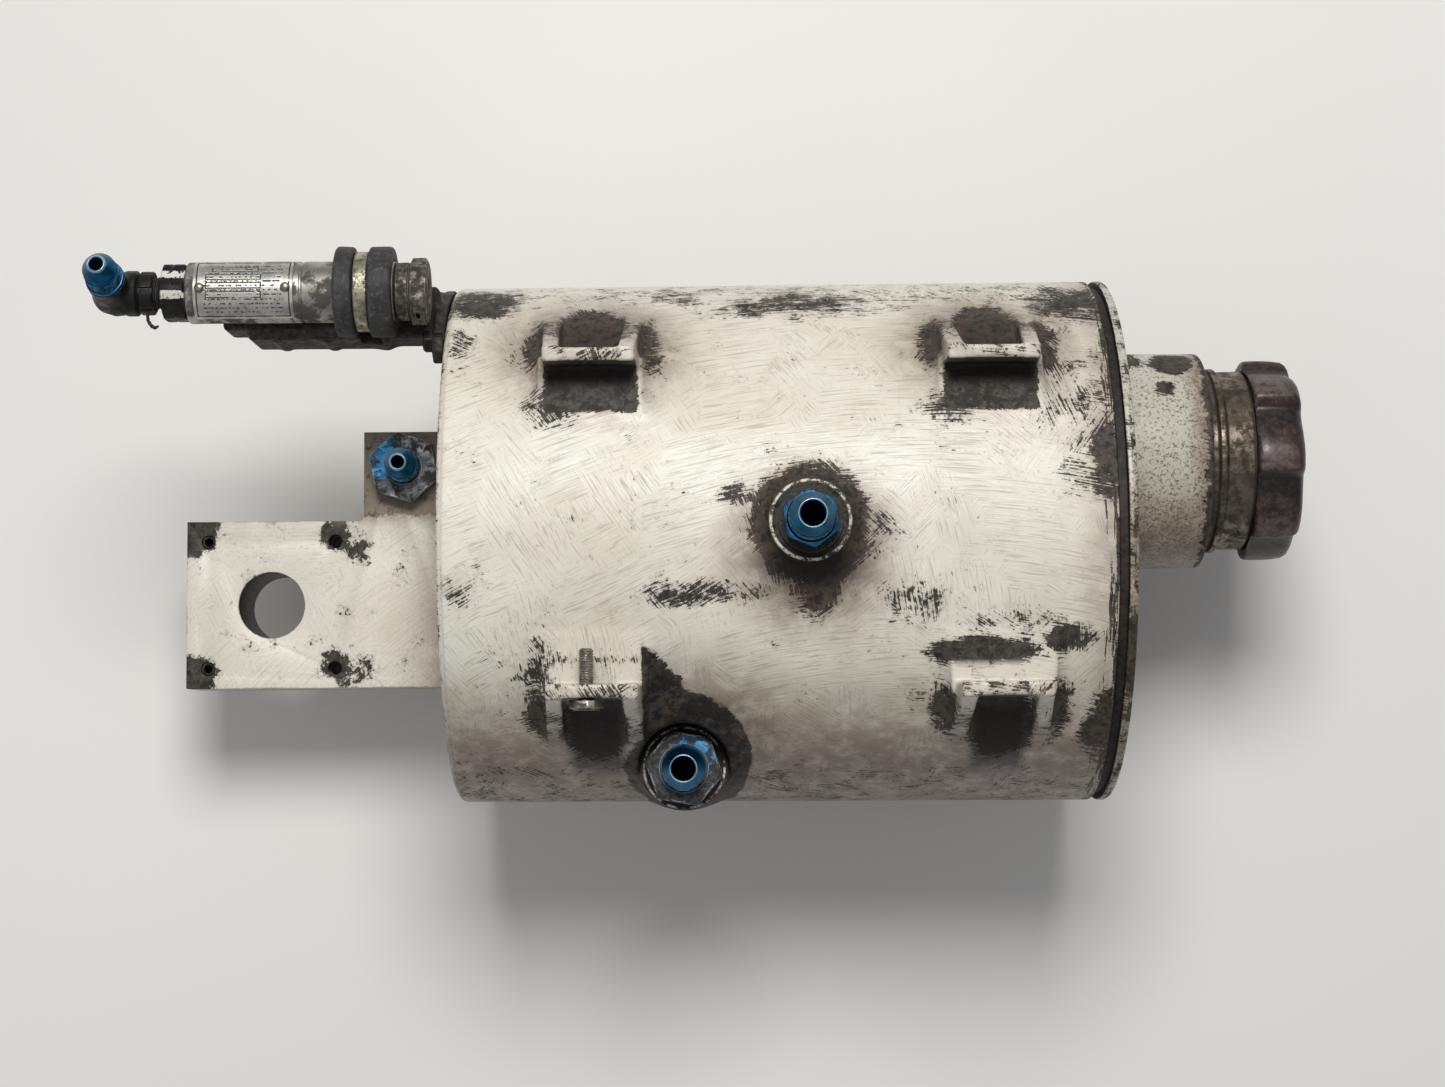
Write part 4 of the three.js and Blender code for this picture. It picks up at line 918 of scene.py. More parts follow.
def cover_wear(f):
    x = f.xyz()[0]
    seam = f.step(x, TANK.x1 + 3.5, TANK.x1 + 2.9) * 1.1
    rim = f.cloud(9, 0.4, 0.62, 6, 0.72) * f.step(x, COVER.x0 + 16, COVER.x0 + 15) * 0.66
    lip = f.step(x + (f.noise(4, 5, 0.7) - 0.5) * 9, COVER.x1 - 4.5, COVER.x1 - 0.5) * 0.9
    chipped = spots(
        f, (COVER.x1 - 11, KNOB.y + 31, 18, (8, 6, 12), 0.4, 0.95),
        (COVER.x0 + 13, -41, 75, (6, 15, 18), 0.4, 0.85),
        (COVER.x1 - 26, KNOB.y + 33, 16, (7, 5, 12), 0.6, 0.7),
        (COVER.x1 - 15, KNOB.y + 21, 29, (4, 3, 8), 0.5, 0.6))
    return f.most(seam, rim, lip, *chipped, 0.17)


def cover_groove_shade(f):
    """Painted shade, in patches, in the seam's groove."""
    return f.step(f.xyz()[0], TANK.x1 + 3.3, TANK.x1 + 2.7) * f.noise(5, 4, 0.7) * 0.9


def cover_grime_and_shade(f):
    x, y, z = f.xyz()
    # Darker towards -Y and the bottom, painted shade as well as grime, and grimy towards the neck's end.
    return f.most(f.step(y, KNOB.y + 2, KNOB.y - 32) * 0.75, f.step(x, COVER.x1 - 12, COVER.x1),
                  f.step(z, AXIS_Z + 12, AXIS_Z - 40), 0.1)


def block_wear(f):
    top, square = BLOCK.z1 - AXIS_Z, INSERTS[0].y - INSERTS[1].y
    chipped = []
    for hole, outer in zip(INSERTS, (1, -1)):
        chipped += spots(f, (hole.x - 5, hole.y + outer * 3, top, (9, 8, 9), 0.5, 0.98),
                         (hole.x + square, hole.y + 1.5, top, (6.5, 6, 7), 0.7, 0.86),
                         (hole.x + square + 6, hole.y, top, (9, 9, 7), 0.8, 0.5))
    tab = f.panel(TAB, (20, 19, 60), 3.0)
    joint = f.step(f.xyz()[0], TANK.x0 - 11, TANK.x0) * 0.55
    return f.most(*chipped, tab, joint, f.edges(0.9) * 0.55, 0.14)


def block_grime(f):
    x, _, z = f.xyz()
    tab = f.zone((BLOCK_FITTING.x, BLOCK_FITTING.y, BLOCK.z1), (22, 24, 40), 0.4)
    return f.most(tab * 0.3, f.step(z, BLOCK.z1 - 1, BLOCK.z1 - 12) * 0.6,
                  f.step(x, TANK.x0 - 24, TANK.x0) * 0.8)


def block_bore_shade(f):
    """The bore's unlit wall."""
    upper, lower = INSERTS
    middle = (upper.y + lower.y) / 2
    wall = f.step(f.away((upper.x + upper.y - middle, middle, 0), UP), BLOCK_BORE + 0.25, BLOCK_BORE + 0.1)
    return wall * f.step(f.xyz()[2], BLOCK.z1 - 0.3, BLOCK.z1 - 1.0)


def block_dust(f):
    """Greyish-brown dust over the bare tab."""
    return f.panel(TAB, (22, 21, 60), 3.0) * f.cloud(2.4, 0.26, 0.52, 6, 0.75) * 0.9


BLACK = {"rough": (0.4, 0.6), "size": 2.5, "edge_radius": 0.4, "shine": 0.6}

FINISHES = {
    "tank_enamel": enamel("tank_enamel", tank_wrap, tank_wear, tank_grime_and_shade, tank_soot_and_shade, tank_bright),
    "cover_enamel": enamel("cover_enamel", cover_wrap, cover_wear, cover_grime_and_shade, cover_groove_shade, stroke=0.3,
                           speckle=0.8, dull=0.42),
    "block_enamel": enamel("block_enamel", flat_place, block_wear, block_grime, block_bore_shade, block_dust,
                           "988c7e", stroke=0.5, speckle=0.12, torn=0.1),
    "blue": anodised("blue_anodise", "0a4468", "166a94", "b4d3e3"),
    "light_blue": anodised("light_blue_anodise", "1a6296", "3b8fc4", "b5d9ea"),
    "nut": metal("worn_nut", "8d9092", "6c6f70", "3a332b", "c4c8ca", size=3.2, dirt_at=(0.5, 0.66)),
    "steel": metal("plated_steel", "9b978c", "77736a", "2e2820", "cfccc2", size=2.4),
    "oily_steel": metal("oily_steel", "5c574e", "3b3731", "15110d", size=2.4, dirt_at=(0.42, 0.56)),
    "cap": metal("cap_metal", "7e776c", "58524a", "211c17", "a59e92", rough=(0.45, 0.68), size=2.2,
                 dirt_size=3.0, dirt_at=(0.44, 0.57), shine=0.8, relief=0.09),
    "valve": metal("valve_metal", "b4b1a9", "96938b", "35302b", "d8d5cd", size=5.0, dirt_size=9.0,
                   dirt_at=(0.47, 0.56)),
    "plate": nameplate_metal("plate_metal"),
    "casting": metal("dark_casting", "403a35", "2a2522", "17130f", "6a635b", rough=(0.55, 0.75), size=2.2,
                     shine=0.4, relief=0.22),
    "black": metal("black_finish", "262525", "1a1a1a", "0f0d0b", "6d6a66", **BLACK),
    "collar": metal("collar_metal", "877e70", "574f43", "2c241c", "b9b1a3", rough=(0.34, 0.52), size=5.0,
                    dirt_size=3.6, dirt_at=(0.44, 0.6), relief=0.05),
    "band": metal("band_metal", "bfb9a4", "928b76", "40372a", "d8d2bc", size=2.2, dirt_size=2.6),
    "painted": metal("painted_black", "262525", "1a1a1a", "0f0d0b", "6d6a66", strokes="d9d6cd", **BLACK),
    "brass": metal("brass", "b08d48", "8a6b33", "33270f", "d8ba74", size=3.0),
    "knob": knob_moulding("knob_plastic"),
    "blue_nut": part_blue_nut("part_blue_nut"),
    "wire": metal("spring_steel", "8d8d8b", "6b6b69", "2b2724", size=2.0),
    "cushion": rubber("cushion_rubber", "2d2c2e", "3c3b3c"),
    "seal": rubber("seal_rubber", "161616", "242323"),
}

CAD_FINISH = {
    "standpipe": "steel", "baffle_plate": "steel", "cover_seal": "seal", "valve_seat": "brass",
    "valve_poppet": "brass",
}


def add(piece, body, slot, finish, *nodes, smooth=SHARP):
    """Puts a finished piece on its body, in place of the CAD nodes it stands for."""
    shade(piece, smooth)
    piece.data.materials.clear()
    piece.data.materials.append(FINISHES[finish])
    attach(piece, body)
    if nodes:
        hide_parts(*nodes)
    return piece


# ---------------------------------------------------------------- tank
def upright(name, x, y, radius, z0, z1, sides=64):
    """A plain upright rod to cut or join with."""
    return turned(name, "z", (x, y, 0), [(z0, 0), (z0, radius), (z1, radius), (z1, 0)], sides)


def lengthwise(name, y, z, radius, x0, x1, sides=48):
    """A plain rod along X to cut or join with."""
    return turned(name, "x", (0, y, z), [(x0, 0), (x0, radius), (x1, radius), (x1, 0)], sides)


def tank_shell():
    x0, x1 = TANK.x0, TANK.x1
    inner = TANK_BLANK_R - TANK_WALL
    profile = rounded([(x0, 0), (x0, TANK_BLANK_R, 3), (x1, TANK_OPEN_R, 0.5),
                       (x1, TANK_OPEN_R - TANK_WALL, 0.5),
                       (x0 + TANK_HEAD, inner, 5), (x0 + TANK_HEAD, 0)])
    shell = turned("tank_shell", "x", (0, 0, AXIS_Z), profile, 240)
    pad = block("pad", (-PAD_X, -PAD_Y, TANK.z0), (PAD_X, PAD_Y, AXIS_Z - 74), 2.0)
    carve(shell, pad, operation="UNION")
    plug = Span("drain_plug")
    screws = [Span("arm_screw_upper"), Span("arm_screw_lower")]
    cuts = [upright("a", LOWER.x, LOWER.y, 15.2, AXIS_Z + 30, FACE_Z),
            upright("b", CENTRE.x, CENTRE.y, 8.5, AXIS_Z + 60, FACE_Z),
            upright("c", plug.x, plug.y, 10.5, TANK.z0 - 1, TANK.z0 + 6.3),
            upright("d", plug.x, plug.y, 7.3, TANK.z0, TANK.z0 + 24),
            lengthwise("e", 70, AXIS_Z + 35, 3, x0 - 1, x0 + 12)]
    cuts += [lengthwise("f", s.y, s.z, 2.4, x0 - 1, x0 + 5) for s in screws]
    return carve(shell, *cuts)


def lug_shape(lug, side):
    """A lug's own field: an upright plate, two gussets sloping away behind it, a flat floor before it."""
    top = lug.z1
    foot = max(abs(lug.y0), abs(lug.y1))
    slope = [(50, top), (54.3, top), (foot, top - 41), (58, top - 48), (50, top - 44)]
    inner = LUG_HALF - GUSSET

    def feature(p):
        u, v, w = p[..., 0] - lug.x, side * p[..., 1], p[..., 2]
        q = np.stack([u / (1 + 0.1 * np.clip((top - w) / 24, 0, 1.2)), v, w], -1)
        plate = box_field(q, (-LUG_HALF, 50, top - 40), (LUG_HALF, 54.3, top), 0.6)
        flat = outline_field(v, w, slope)
        flanks = np.minimum(plate_field(flat, q[..., 0], inner, LUG_HALF, 0.8),
                            plate_field(flat, q[..., 0], -LUG_HALF, -inner, 0.8))
        floor = box_field(q, (-LUG_HALF - 1.5, 34.5, top - 40), (LUG_HALF + 1.5, 53, top - 14), 0.7)
        return melt(melt(plate, flanks, 0.9), floor, 1.4)
    return feature


def lug_field(lug, side, hole_x, lo, hi):
    top, feature = lug.z1, lug_shape(lug, side)
    room_outline = [(54.3, top + 5), (54.3, top - 34), (90, top - 60), (90, top + 5)]
    room_half = LUG_HALF - GUSSET

    def field(p):
        joined = on_tank(p, feature(p), 5.0)
        flat = outline_field(side * p[..., 1], p[..., 2], room_outline)
        room = plate_field(flat, p[..., 0] - lug.x, -room_half, room_half, 1.2)
        opened = hollow(joined, np.maximum(room, 1.6 - tank_field(p)), 1.2)
        hole = rod_field(p, "y", (hole_x, 0, top - 6.7), 2.55, side * 52 - 8, side * 52 + 8)
        opened = hollow(opened, hole, 0.4)
        recess = rod_field(p, "z", (LOWER.x, LOWER.y), 14.5, LOWER_FACE, LOWER_FACE + 70, 0.4)
        opened = hollow(opened, recess, 1.6)
        return np.maximum(opened, box_field(p, np.add(lo, 1.5), np.subtract(hi, 1.5)))
    return field


def lug_casting(name, hole_x):
    lug = LUGS[name]
    side = 1 if lug.y > 0 else -1
    near, far = sorted((side * 20, side * 86))
    lo, hi = (lug.x - 33, near, lug.z1 - 58), (lug.x + 33, far, lug.z1 + 2)
    return cast(name + "_casting", lug_field(lug, side, hole_x, lo, hi), lo, hi, 0.7)


def centre_boss():
    def field(p):
        boss = rod_field(p, "z", (CENTRE.x, CENTRE.y), 12.8, FACE_Z - 20, FACE_Z, 0.9)
        joined = on_tank(p, boss, 7.5, 15)
        bore = rod_field(p, "z", (CENTRE.x, CENTRE.y), PORT_BORE, FACE_Z - 30, FACE_Z + 6)
        spot = rod_field(p, "z", (CENTRE.x, CENTRE.y), 11.4, FACE_Z - 0.35, FACE_Z + 6)
        return hollow(hollow(joined, spot, 0.3), bore, 0.5)
    reach = 31
    return cast("centre_port_boss", field, (CENTRE.x - reach, -reach, FACE_Z - 16),
                (CENTRE.x + reach, reach, FACE_Z + 2), 0.7)


def lower_boss():
    centre = (LOWER.x, LOWER.y)
    face = LOWER_FACE

    def field(p):
        boss = rod_field(p, "z", centre, 13.7, face - 24, face, 0.7)
        skin = on_tank(p, boss, 9.0, 16)
        cup = np.maximum(rod_field(p, "z", centre, 18.4, face - 14, face + 60), tank_field(p) + 0.4)
        body = np.minimum(np.minimum(skin, cup), rod_field(p, "z", centre, 13.6, face - 24, face - 0.5))
        recess = rod_field(p, "z", centre, 14.5, face, face + 70, 0.4)
        bore = rod_field(p, "z", centre, PORT_BORE, face - 17, face + 5)
        return hollow(hollow(body, recess, 1.6), bore, 0.5)
    reach = 31
    return cast("lower_port_boss", field, (LOWER.x - reach, -92, face - 27),
                (LOWER.x + reach, LOWER.y + reach + 4, face + 46), 0.75)


def build_tank():
    add(tank_shell(), "tank", "enamel", "tank_enamel", "tank_body")
    bolt = Span("lug_bolt")
    holes = {"lug_upper_left": LUGS["lug_upper_left"].x - 1.5, "lug_upper_right": LUGS["lug_upper_right"].x,
             "lug_lower_left": bolt.x, "lug_lower_right": LUGS["lug_lower_right"].x - 2.6}
    for name, hole_x in holes.items():
        add(lug_casting(name, hole_x), "tank", "enamel", "tank_enamel", name, smooth=CAST)
    add(centre_boss(), "tank", "enamel", "tank_enamel", smooth=CAST)
    add(lower_boss(), "tank", "enamel", "tank_enamel", smooth=CAST)


# ---------------------------------------------------------------- end cover and filler
NECK_R = 36.5
NECK_BORE = 27.5


def end_cover():
    x0, x1 = TANK.x1 + 0.3, TANK.x1 + 6.1
    groove, rim = TANK_OPEN_R - 2.6, TANK_OPEN_R + 0.1
    spigot = TANK_OPEN_R - TANK_WALL - 0.4
    disc = turned("end_cover_casting", "x", (0, 0, AXIS_Z), rounded([
        (x0 - 8.9, 0), (x0 - 8.9, spigot, 0.6), (x0, spigot, 0.2), (x0, groove, 0.3), (x0 + 2.8, groove, 0.5),
        (x0 + 2.8, rim, 0.7), (x1, rim, 1.6), (x1, 0)]), 240)
    neck = turned("neck", "x", (0, KNOB.y, AXIS_Z), rounded([
        (x1 - 6, 0), (x1 - 6, NECK_R + 5), (x1 + 0.02, NECK_R + 5.5, 0.4), (x1 + 0.3, NECK_R + 0.4, 5),
        (COVER.x1, NECK_R, 1.4), (COVER.x1, 0)], 6), 160)
    carve(disc, neck, operation="UNION")
    dish = lengthwise("dish", 0, AXIS_Z, spigot - 5, x0 - 12, x1 - 6, 120)
    bore = lengthwise("bore", KNOB.y, AXIS_Z, NECK_BORE, x0 - 20, COVER.x1 + 2, 120)
    ring = turned("ring", "x", (0, 0, AXIS_Z), [(SEAL.x0, spigot - 2.2), (SEAL.x0, spigot + 2),
                                                (SEAL.x1, spigot + 2), (SEAL.x1, spigot - 2.2),
                                                (SEAL.x0, spigot - 2.2)], 240)
    return carve(disc, dish, bore, ring)


def filler_collar():
    c = COLLAR
    face = COVER.x1 + 0.3
    profile = rounded([(c.x0, 22.6), (c.x0, 27.2, 0.4), (face, 27.2, 0.2), (face, 29.9, 0.5),
                       (face + 2.4, 30.1, 0.6),
                       (face + 2.9, 31.4, 0.5), (face + 4.9, 31.5, 0.7), (face + 5.5, 30.3, 0.5),
                       (c.x1 - 2.7, 30.5, 0.5), (c.x1 - 2.7, 29.2, 0.2), (c.x1, 29.2, 0.6), (c.x1, 24.6, 0.5),
                       (c.x0 + 4, 24.6, 0.3), (c.x0 + 4, 22.6, 0.3), (c.x0, 22.6)])
    return turned("filler_collar_ring", "x", (0, c.y, c.z), profile, 144)


def strainer():
    s = Span("filler_strainer")
    wall, hole, pitch_x, count = 1.1, 2.0, 5.6, 24
    outer = 21.6

    def field(p):
        r = np.hypot(p[..., 1] - s.y, p[..., 2] - s.z)
        wide = rod_field(p, "x", (0, s.y, s.z), outer, s.x0, s.x1 - 0.4, 0.4)
        rim = rod_field(p, "x", (0, s.y, s.z), 24.2, s.x1 - 1.6, s.x1, 0.3)
        cup = np.minimum(wide, rim)
        cup = np.maximum(cup, -rod_field(p, "x", (0, s.y, s.z), outer - wall, s.x0 + wall, s.x1 + 5))
        row = (p[..., 0] - s.x0 - 5) / pitch_x
        turn = np.arctan2(p[..., 2] - s.z, p[..., 1] - s.y) / math.tau * count + 0.5 * (np.floor(row) % 2)
        du = (row % 1 - 0.5) * pitch_x
        dv = (turn % 1 - 0.5) * (math.tau * outer / count)
        bores = np.maximum(np.hypot(du, dv) - hole, outer - 5 - r)
        bores = np.maximum(bores, np.maximum(s.x0 + 5 - p[..., 0], p[..., 0] - s.x1 + 6))
        return np.maximum(cup, -bores)
    return cast("filler_strainer_basket", field, (s.x0 - 1, s.y0 - 1, s.z0 - 1),
                (s.x1 + 1, s.y1 + 1, s.z1 + 1), 0.62)


def cap_flange():
    c = FLANGE
    gasket = Span("cap_gasket")
    plug_r, stem = 24.1, 4.1
    profile = rounded([(c.x0, stem), (c.x0, plug_r, 1.2), (gasket.x1 + 0.3, plug_r, 0.3),
                       (gasket.x1 + 0.3, c.z1 - c.z, 0.3), (c.x1, c.z1 - c.z, 0.5), (c.x1, stem, 0.2),
                       (c.x0, stem)])
    return turned("cap_plug_disc", "x", (0, c.y, c.z), profile, 120)


def cap_gasket():
    g = Span("cap_gasket")
    outer = g.z1 - g.z
    profile = rounded([(g.x0, 24.5), (g.x0, outer, 0.5), (g.x1, outer, 0.5), (g.x1, 24.5, 0.3), (g.x0, 24.5)])
    return turned("cap_gasket_ring", "x", (0, g.y, g.z), profile, 120)


KNOB_LOBES = 8
KNOB_TURN = 4.0


def knob():
    """A moulded knob: lobes that fall steeply on one side, a thin skirt over the collar, a nut recess."""
    k = KNOB
    seat, skirt = k.x0 + 6.1, 29.8
    rows = [(seat, 4.4, 0), (seat, skirt - 0.3, 0), (seat - 0.3, skirt, 0), (k.x0 + 0.4, skirt, 0),
            (k.x0, skirt + 0.4, 0), (k.x0, 32.6, 0.5), (k.x0 + 0.4, 33.4, 0.9), (k.x0 + 1.2, 33.9, 1),
            (k.x0 + 3.5, 34.0, 1), (k.x0 + 7.0, 34.0, 1), (k.x0 + 10.5, 33.8, 1), (k.x0 + 13.2, 33.4, 1),
            (k.x0 + 14.8, 32.4, 1), (k.x0 + 15.7, 31.0, 1), (k.x0 + 16.2, 29.2, 0.9), (k.x1 - 0.2, 27.0, 0.7),
            (k.x1, 24.5, 0.4), (k.x1, 19.0, 0), (k.x1 - 0.4, 12.5, 0), (k.x1 - 0.7, 9.9, 0),
            (k.x1 - 1.2, 9.3, 0),
            (k.x1 - 5.2, 9.1, 0), (k.x1 - 5.2, 4.4, 0), (seat, 4.4, 0)]
    share = {round(r[0] * 1000 + r[1]): r[2] for r in rows}

    def shape(angle, station, radius):
        past = (-(angle + math.radians(KNOB_TURN)) * KNOB_LOBES / math.tau) % 1
        swell = 1 - ease(past, 0.13, 0.3) + ease(past, 0.36, 1.0)
        depth = (KNOB_LOBE - KNOB_VALLEY) * share[round(station * 1000 + radius)]
        return radius - depth * (1 - swell)
    return turned("cap_knob_moulding", "x", (0, k.y, k.z), [(r[0], r[1]) for r in rows], 320, shape)


def cap_stem():
    s = Span("cap_stem")
    rod = turned("cap_stem_bar", "x", (0, s.y, s.z), rounded([
        (s.x0, 0), (s.x0, 4, 0.4), (s.x1, 4, 0.8), (s.x1, 0)]), 48)
    bar = block("bar", (s.x0, s.y - 4, s.z0), (s.x0 + 3, s.y + 4, s.z1), 0.8)
    return carve(rod, bar, operation="UNION")


def nut(name, axis, span, across, bore, turn, depth=0.9):
    """A hexagon nut, its corners chamfered both ways, with a bore through it."""
    along = "xyz".index(axis)
    first = (span.x0, span.y0, span.z0)[along]
    last = (span.x1, span.y1, span.z1)[along]
    corner = across / math.sqrt(3)
    rows = [(first, bore), (first, across / 2 - 0.2), (first + depth * 0.5, (across / 2 + corner) / 2),
            (first + depth, corner), (last - depth, corner),
            (last - depth * 0.66, corner * 0.66 + across / 6),
            (last - depth * 0.33, corner * 0.33 + across / 3), (last, across / 2 - 0.3),
            (last - 0.1, bore + 0.5), (last - 0.5, bore), (first, bore)]
    return turned(name, axis, (span.x, span.y, span.z), rows, 96, hexagon(across, turn), turn)


def build_filler():
    add(end_cover(), "tank", "enamel", "cover_enamel", "end_cover")
    add(filler_collar(), "tank", "collar_metal", "collar", "filler_collar")
    add(strainer(), "tank", "brass", "brass", "filler_strainer", smooth=CAST)
    add(cap_flange(), "cap_plug", "collar_metal", "collar", "cap_plug")
    add(cap_gasket(), "cap_plug", "seal_rubber", "seal", "cap_gasket")
    add(knob(), "cap_knob", "knob_plastic", "knob", "cap_knob", smooth=math.radians(60))
    add(cap_stem(), "cap_knob", "steel", "steel", "cap_stem")
    add(nut("cap_stem_nut", "x", Span("cap_nut"), 13, 4.3, 0), "cap_knob", "steel", "steel", "cap_nut")


# ---------------------------------------------------------------- ports
NOSE = 4.4


def nipple_profile(size, bottom, shoulder, tip, collar=None):
    """A flared-tube nipple from below its face to its tip, bored through; the tip has a 37 degree nose."""
    thread, bore = size["thread"], size["bore"]
    nose = tip - NOSE
    corners = [(bottom, bore), (bottom, thread - 0.5, 0.2), (bottom + 0.8, thread, 0.2)]
    if collar:
        corners += [(shoulder, thread, 0.1), (shoulder, collar, 0.2), (shoulder + 1.2, collar, 0.3),
                    (shoulder + 1.2, thread, 0.2)]
    corners += [(nose - 2.6, thread, 0.3), (nose - 2.0, thread * 0.84, 0.3), (nose - 0.7, thread * 0.84, 0.3),
                (nose - 0.1, thread * 0.97, 0.4), (tip - 0.1, bore + 0.7, 0.4), (tip, bore + 0.45, 0.1),
                (tip - 0.4, bore, 0.2), (bottom, bore)]
    return rounded(corners)


def nipple(name, axis, centre, size, bottom, shoulder, tip, thread_from, collar=None):
    profile = spread(nipple_profile(size, bottom, shoulder, tip, collar), size["pitch"] / 5)
    nose = tip - NOSE
    cut = screw_thread(size["pitch"], 0.62, thread_from, nose - 2.3)
    on_thread = lambda station, radius: size["thread"] - 0.05 <= radius <= size["thread"] + 0.05
    return turned(name, axis, centre, profile, 72, only(on_thread, cut))


def port_seal(node, name):
    s = Span(node)
    outer = s.x1 - s.x
    thread = 7.5 if outer > 9.9 or node == "centre_port_seal" else 5.9
    profile = rounded([(s.z0, thread), (s.z0, outer, 0.25), (s.z1, outer, 0.25), (s.z1, thread, 0.2),
                       (s.z0, thread)])
    return turned(name, "z", (s.x, s.y, 0), profile, 72)


def hex_collar(name, span, across, z0, z1, bore, turn):
    hull = Span(span) if isinstance(span, str) else span
    hull.z0, hull.z1 = z0, z1
    return nut(name, "z", hull, across, bore, turn, 0.8)


def build_ports():
    seal_top = Span("centre_port_seal").z1
    add(nipple("centre_port_nipple", "z", (CENTRE.x, CENTRE.y, 0), AN6, CENTRE.z0, seal_top, CENTRE.z1,
               seal_top + 9, AN6["thread"] + 0.6), "tank", "blue_anodise", "blue", "centre_port_fitting")
    add(hex_collar("centre_port_hex", "centre_port_fitting", 15.9, seal_top + 0.6, seal_top + 7.1,
                   AN6["thread"] - 0.2, -8), "tank", "blue_anodise", "light_blue")
    add(nipple("lower_port_nipple", "z", (LOWER.x, LOWER.y, 0), AN6, LOWER.z0, LOWER_FACE, LOWER.z1,
               LOWER_FACE + 7.5), "tank", "blue_anodise", "blue", "lower_port_fitting")
    add(nipple("block_port_nipple", "z", (BLOCK_FITTING.x, BLOCK_FITTING.y, 0), AN4, BLOCK_FITTING.z0,
               BLOCK.z1,
               BLOCK_FITTING.z1, BLOCK.z1 + 8), "tank", "blue_anodise", "blue", "block_port_fitting")
    for place, turn, bore in (("lower", -20, AN6["thread"] + 0.15), ("block", -12, AN4["thread"] + 0.15)):
        node = place + "_port_nut"
        add(nut(node + "_hex", "z", Span(node), 22.2, bore, turn, 1.1), "tank", "worn_metal", "blue_nut",
            node)
    for place in ("centre", "lower", "block"):
        node = place + "_port_seal"
        add(port_seal(node, node + "_ring"), "tank", "seal_rubber", "seal", node)


# ---------------------------------------------------------------- port block
def port_block():
    b = BLOCK
    tab_x, step_y = b.x0 + 62, BLOCK_STEP
    inner = [(tab_x + 2 * (math.sin(a) - 1), step_y + 2 * (1 - math.cos(a)))
             for a in np.linspace(0, math.pi / 2, 6)]
    outline = [(b.x0, b.y0), (b.x1, b.y0), (b.x1, b.y1), (tab_x, b.y1), *reversed(inner), (b.x0, step_y)]
    slab = prism("port_block_slab", outline, b.z0, b.z1)
    upper, lower = INSERTS
    square = upper.y - lower.y
    bore = (upper.x + square / 2, (upper.y + lower.y) / 2)
    holes = [upright("bore", *bore, BLOCK_BORE, b.z0 - 1, b.z1 + 1, 96)]
    for x in (upper.x, upper.x + square):
        for y in (upper.y, lower.y):
            holes.append(upright("tapped", x, y, 2.4, b.z1 - 14, b.z1 + 1, 32))
    holes.append(upright("port", BLOCK_FITTING.x, BLOCK_FITTING.y, 5.9, b.z1 - 22, b.z1 + 1, 48))
    carve(slab, *holes)
    return soften(slab, 0.55, 2, CAST)


def insert(node):
    s = Span(node)
    inner, outer = 1.55, 2.1
    rows = [(s.z0, inner), (s.z0, outer), (s.z1, outer), (s.z1, inner)]
    back = spread([(s.z1, inner), (s.z0, inner)], 0.16)[1:]
    cut = screw_thread(0.79, -0.32, s.z0, s.z1)
    return turned(node + "_coil", "z", (s.x, s.y, 0), rows + back, 36,
                  only(lambda station, radius: radius < 1.6, cut))


def build_block():
    add(port_block(), "tank", "enamel", "block_enamel", "port_block", smooth=math.radians(28))
    for node in ("thread_insert_upper", "thread_insert_lower"):
        add(insert(node), "tank", "steel", "oily_steel", node)


# ---------------------------------------------------------------- lug bolt
def lug_bolt():
    s = Span("lug_bolt")
    head = s.y0 + 3.2
    shank = 2.35
    corner_r = 9.5 / math.sqrt(3)
    rows = [(s.y0, 0), (s.y0, 4.0), (s.y0 + 0.35, 4.35), (s.y0 + 0.7, corner_r), (head - 0.3, corner_r),
            (head, 4.6), (head, shank), *spread([(head + 0.3, shank), (s.y1 - 0.7, shank)], 0.13),
            (s.y1 - 0.2, shank - 0.5), (s.y1, shank - 0.8), (s.y1, 0)]
    hexed = hexagon(9.5, 0, 0.15)
    cut = screw_thread(0.79, 0.36, head + 3.5, s.y1 - 0.3)

    def shape(angle, station, radius):
        return hexed(angle, station, radius) if station <= head else cut(angle, station, radius)
    return turned("lug_bolt_screw", "y", (s.x, 0, s.z), rows, 60, shape)


# ---------------------------------------------------------------- relief valve
VALVE_BORE = 6.6


def valve_tube():
    v = VALVE
    profile = rounded([(v.x0, VALVE_BORE), (v.x0, VALVE_R, 0.7), (v.x0 + 31, VALVE_R, 0.2),
                       (v.x0 + 36.2, VALVE_R, 0.2), (v.x0 + 36.4, VALVE_R - 0.35, 0.2),
                       (v.x0 + 37, VALVE_R - 0.35, 0.2),
                       (v.x0 + 37.2, VALVE_R, 0.2), (v.x1, VALVE_R, 0.6), (v.x1, VALVE_BORE, 0.3),
                       (v.x0, VALVE_BORE)])
    return turned("valve_body_tube", "x", (0, v.y, v.z), profile, 120)


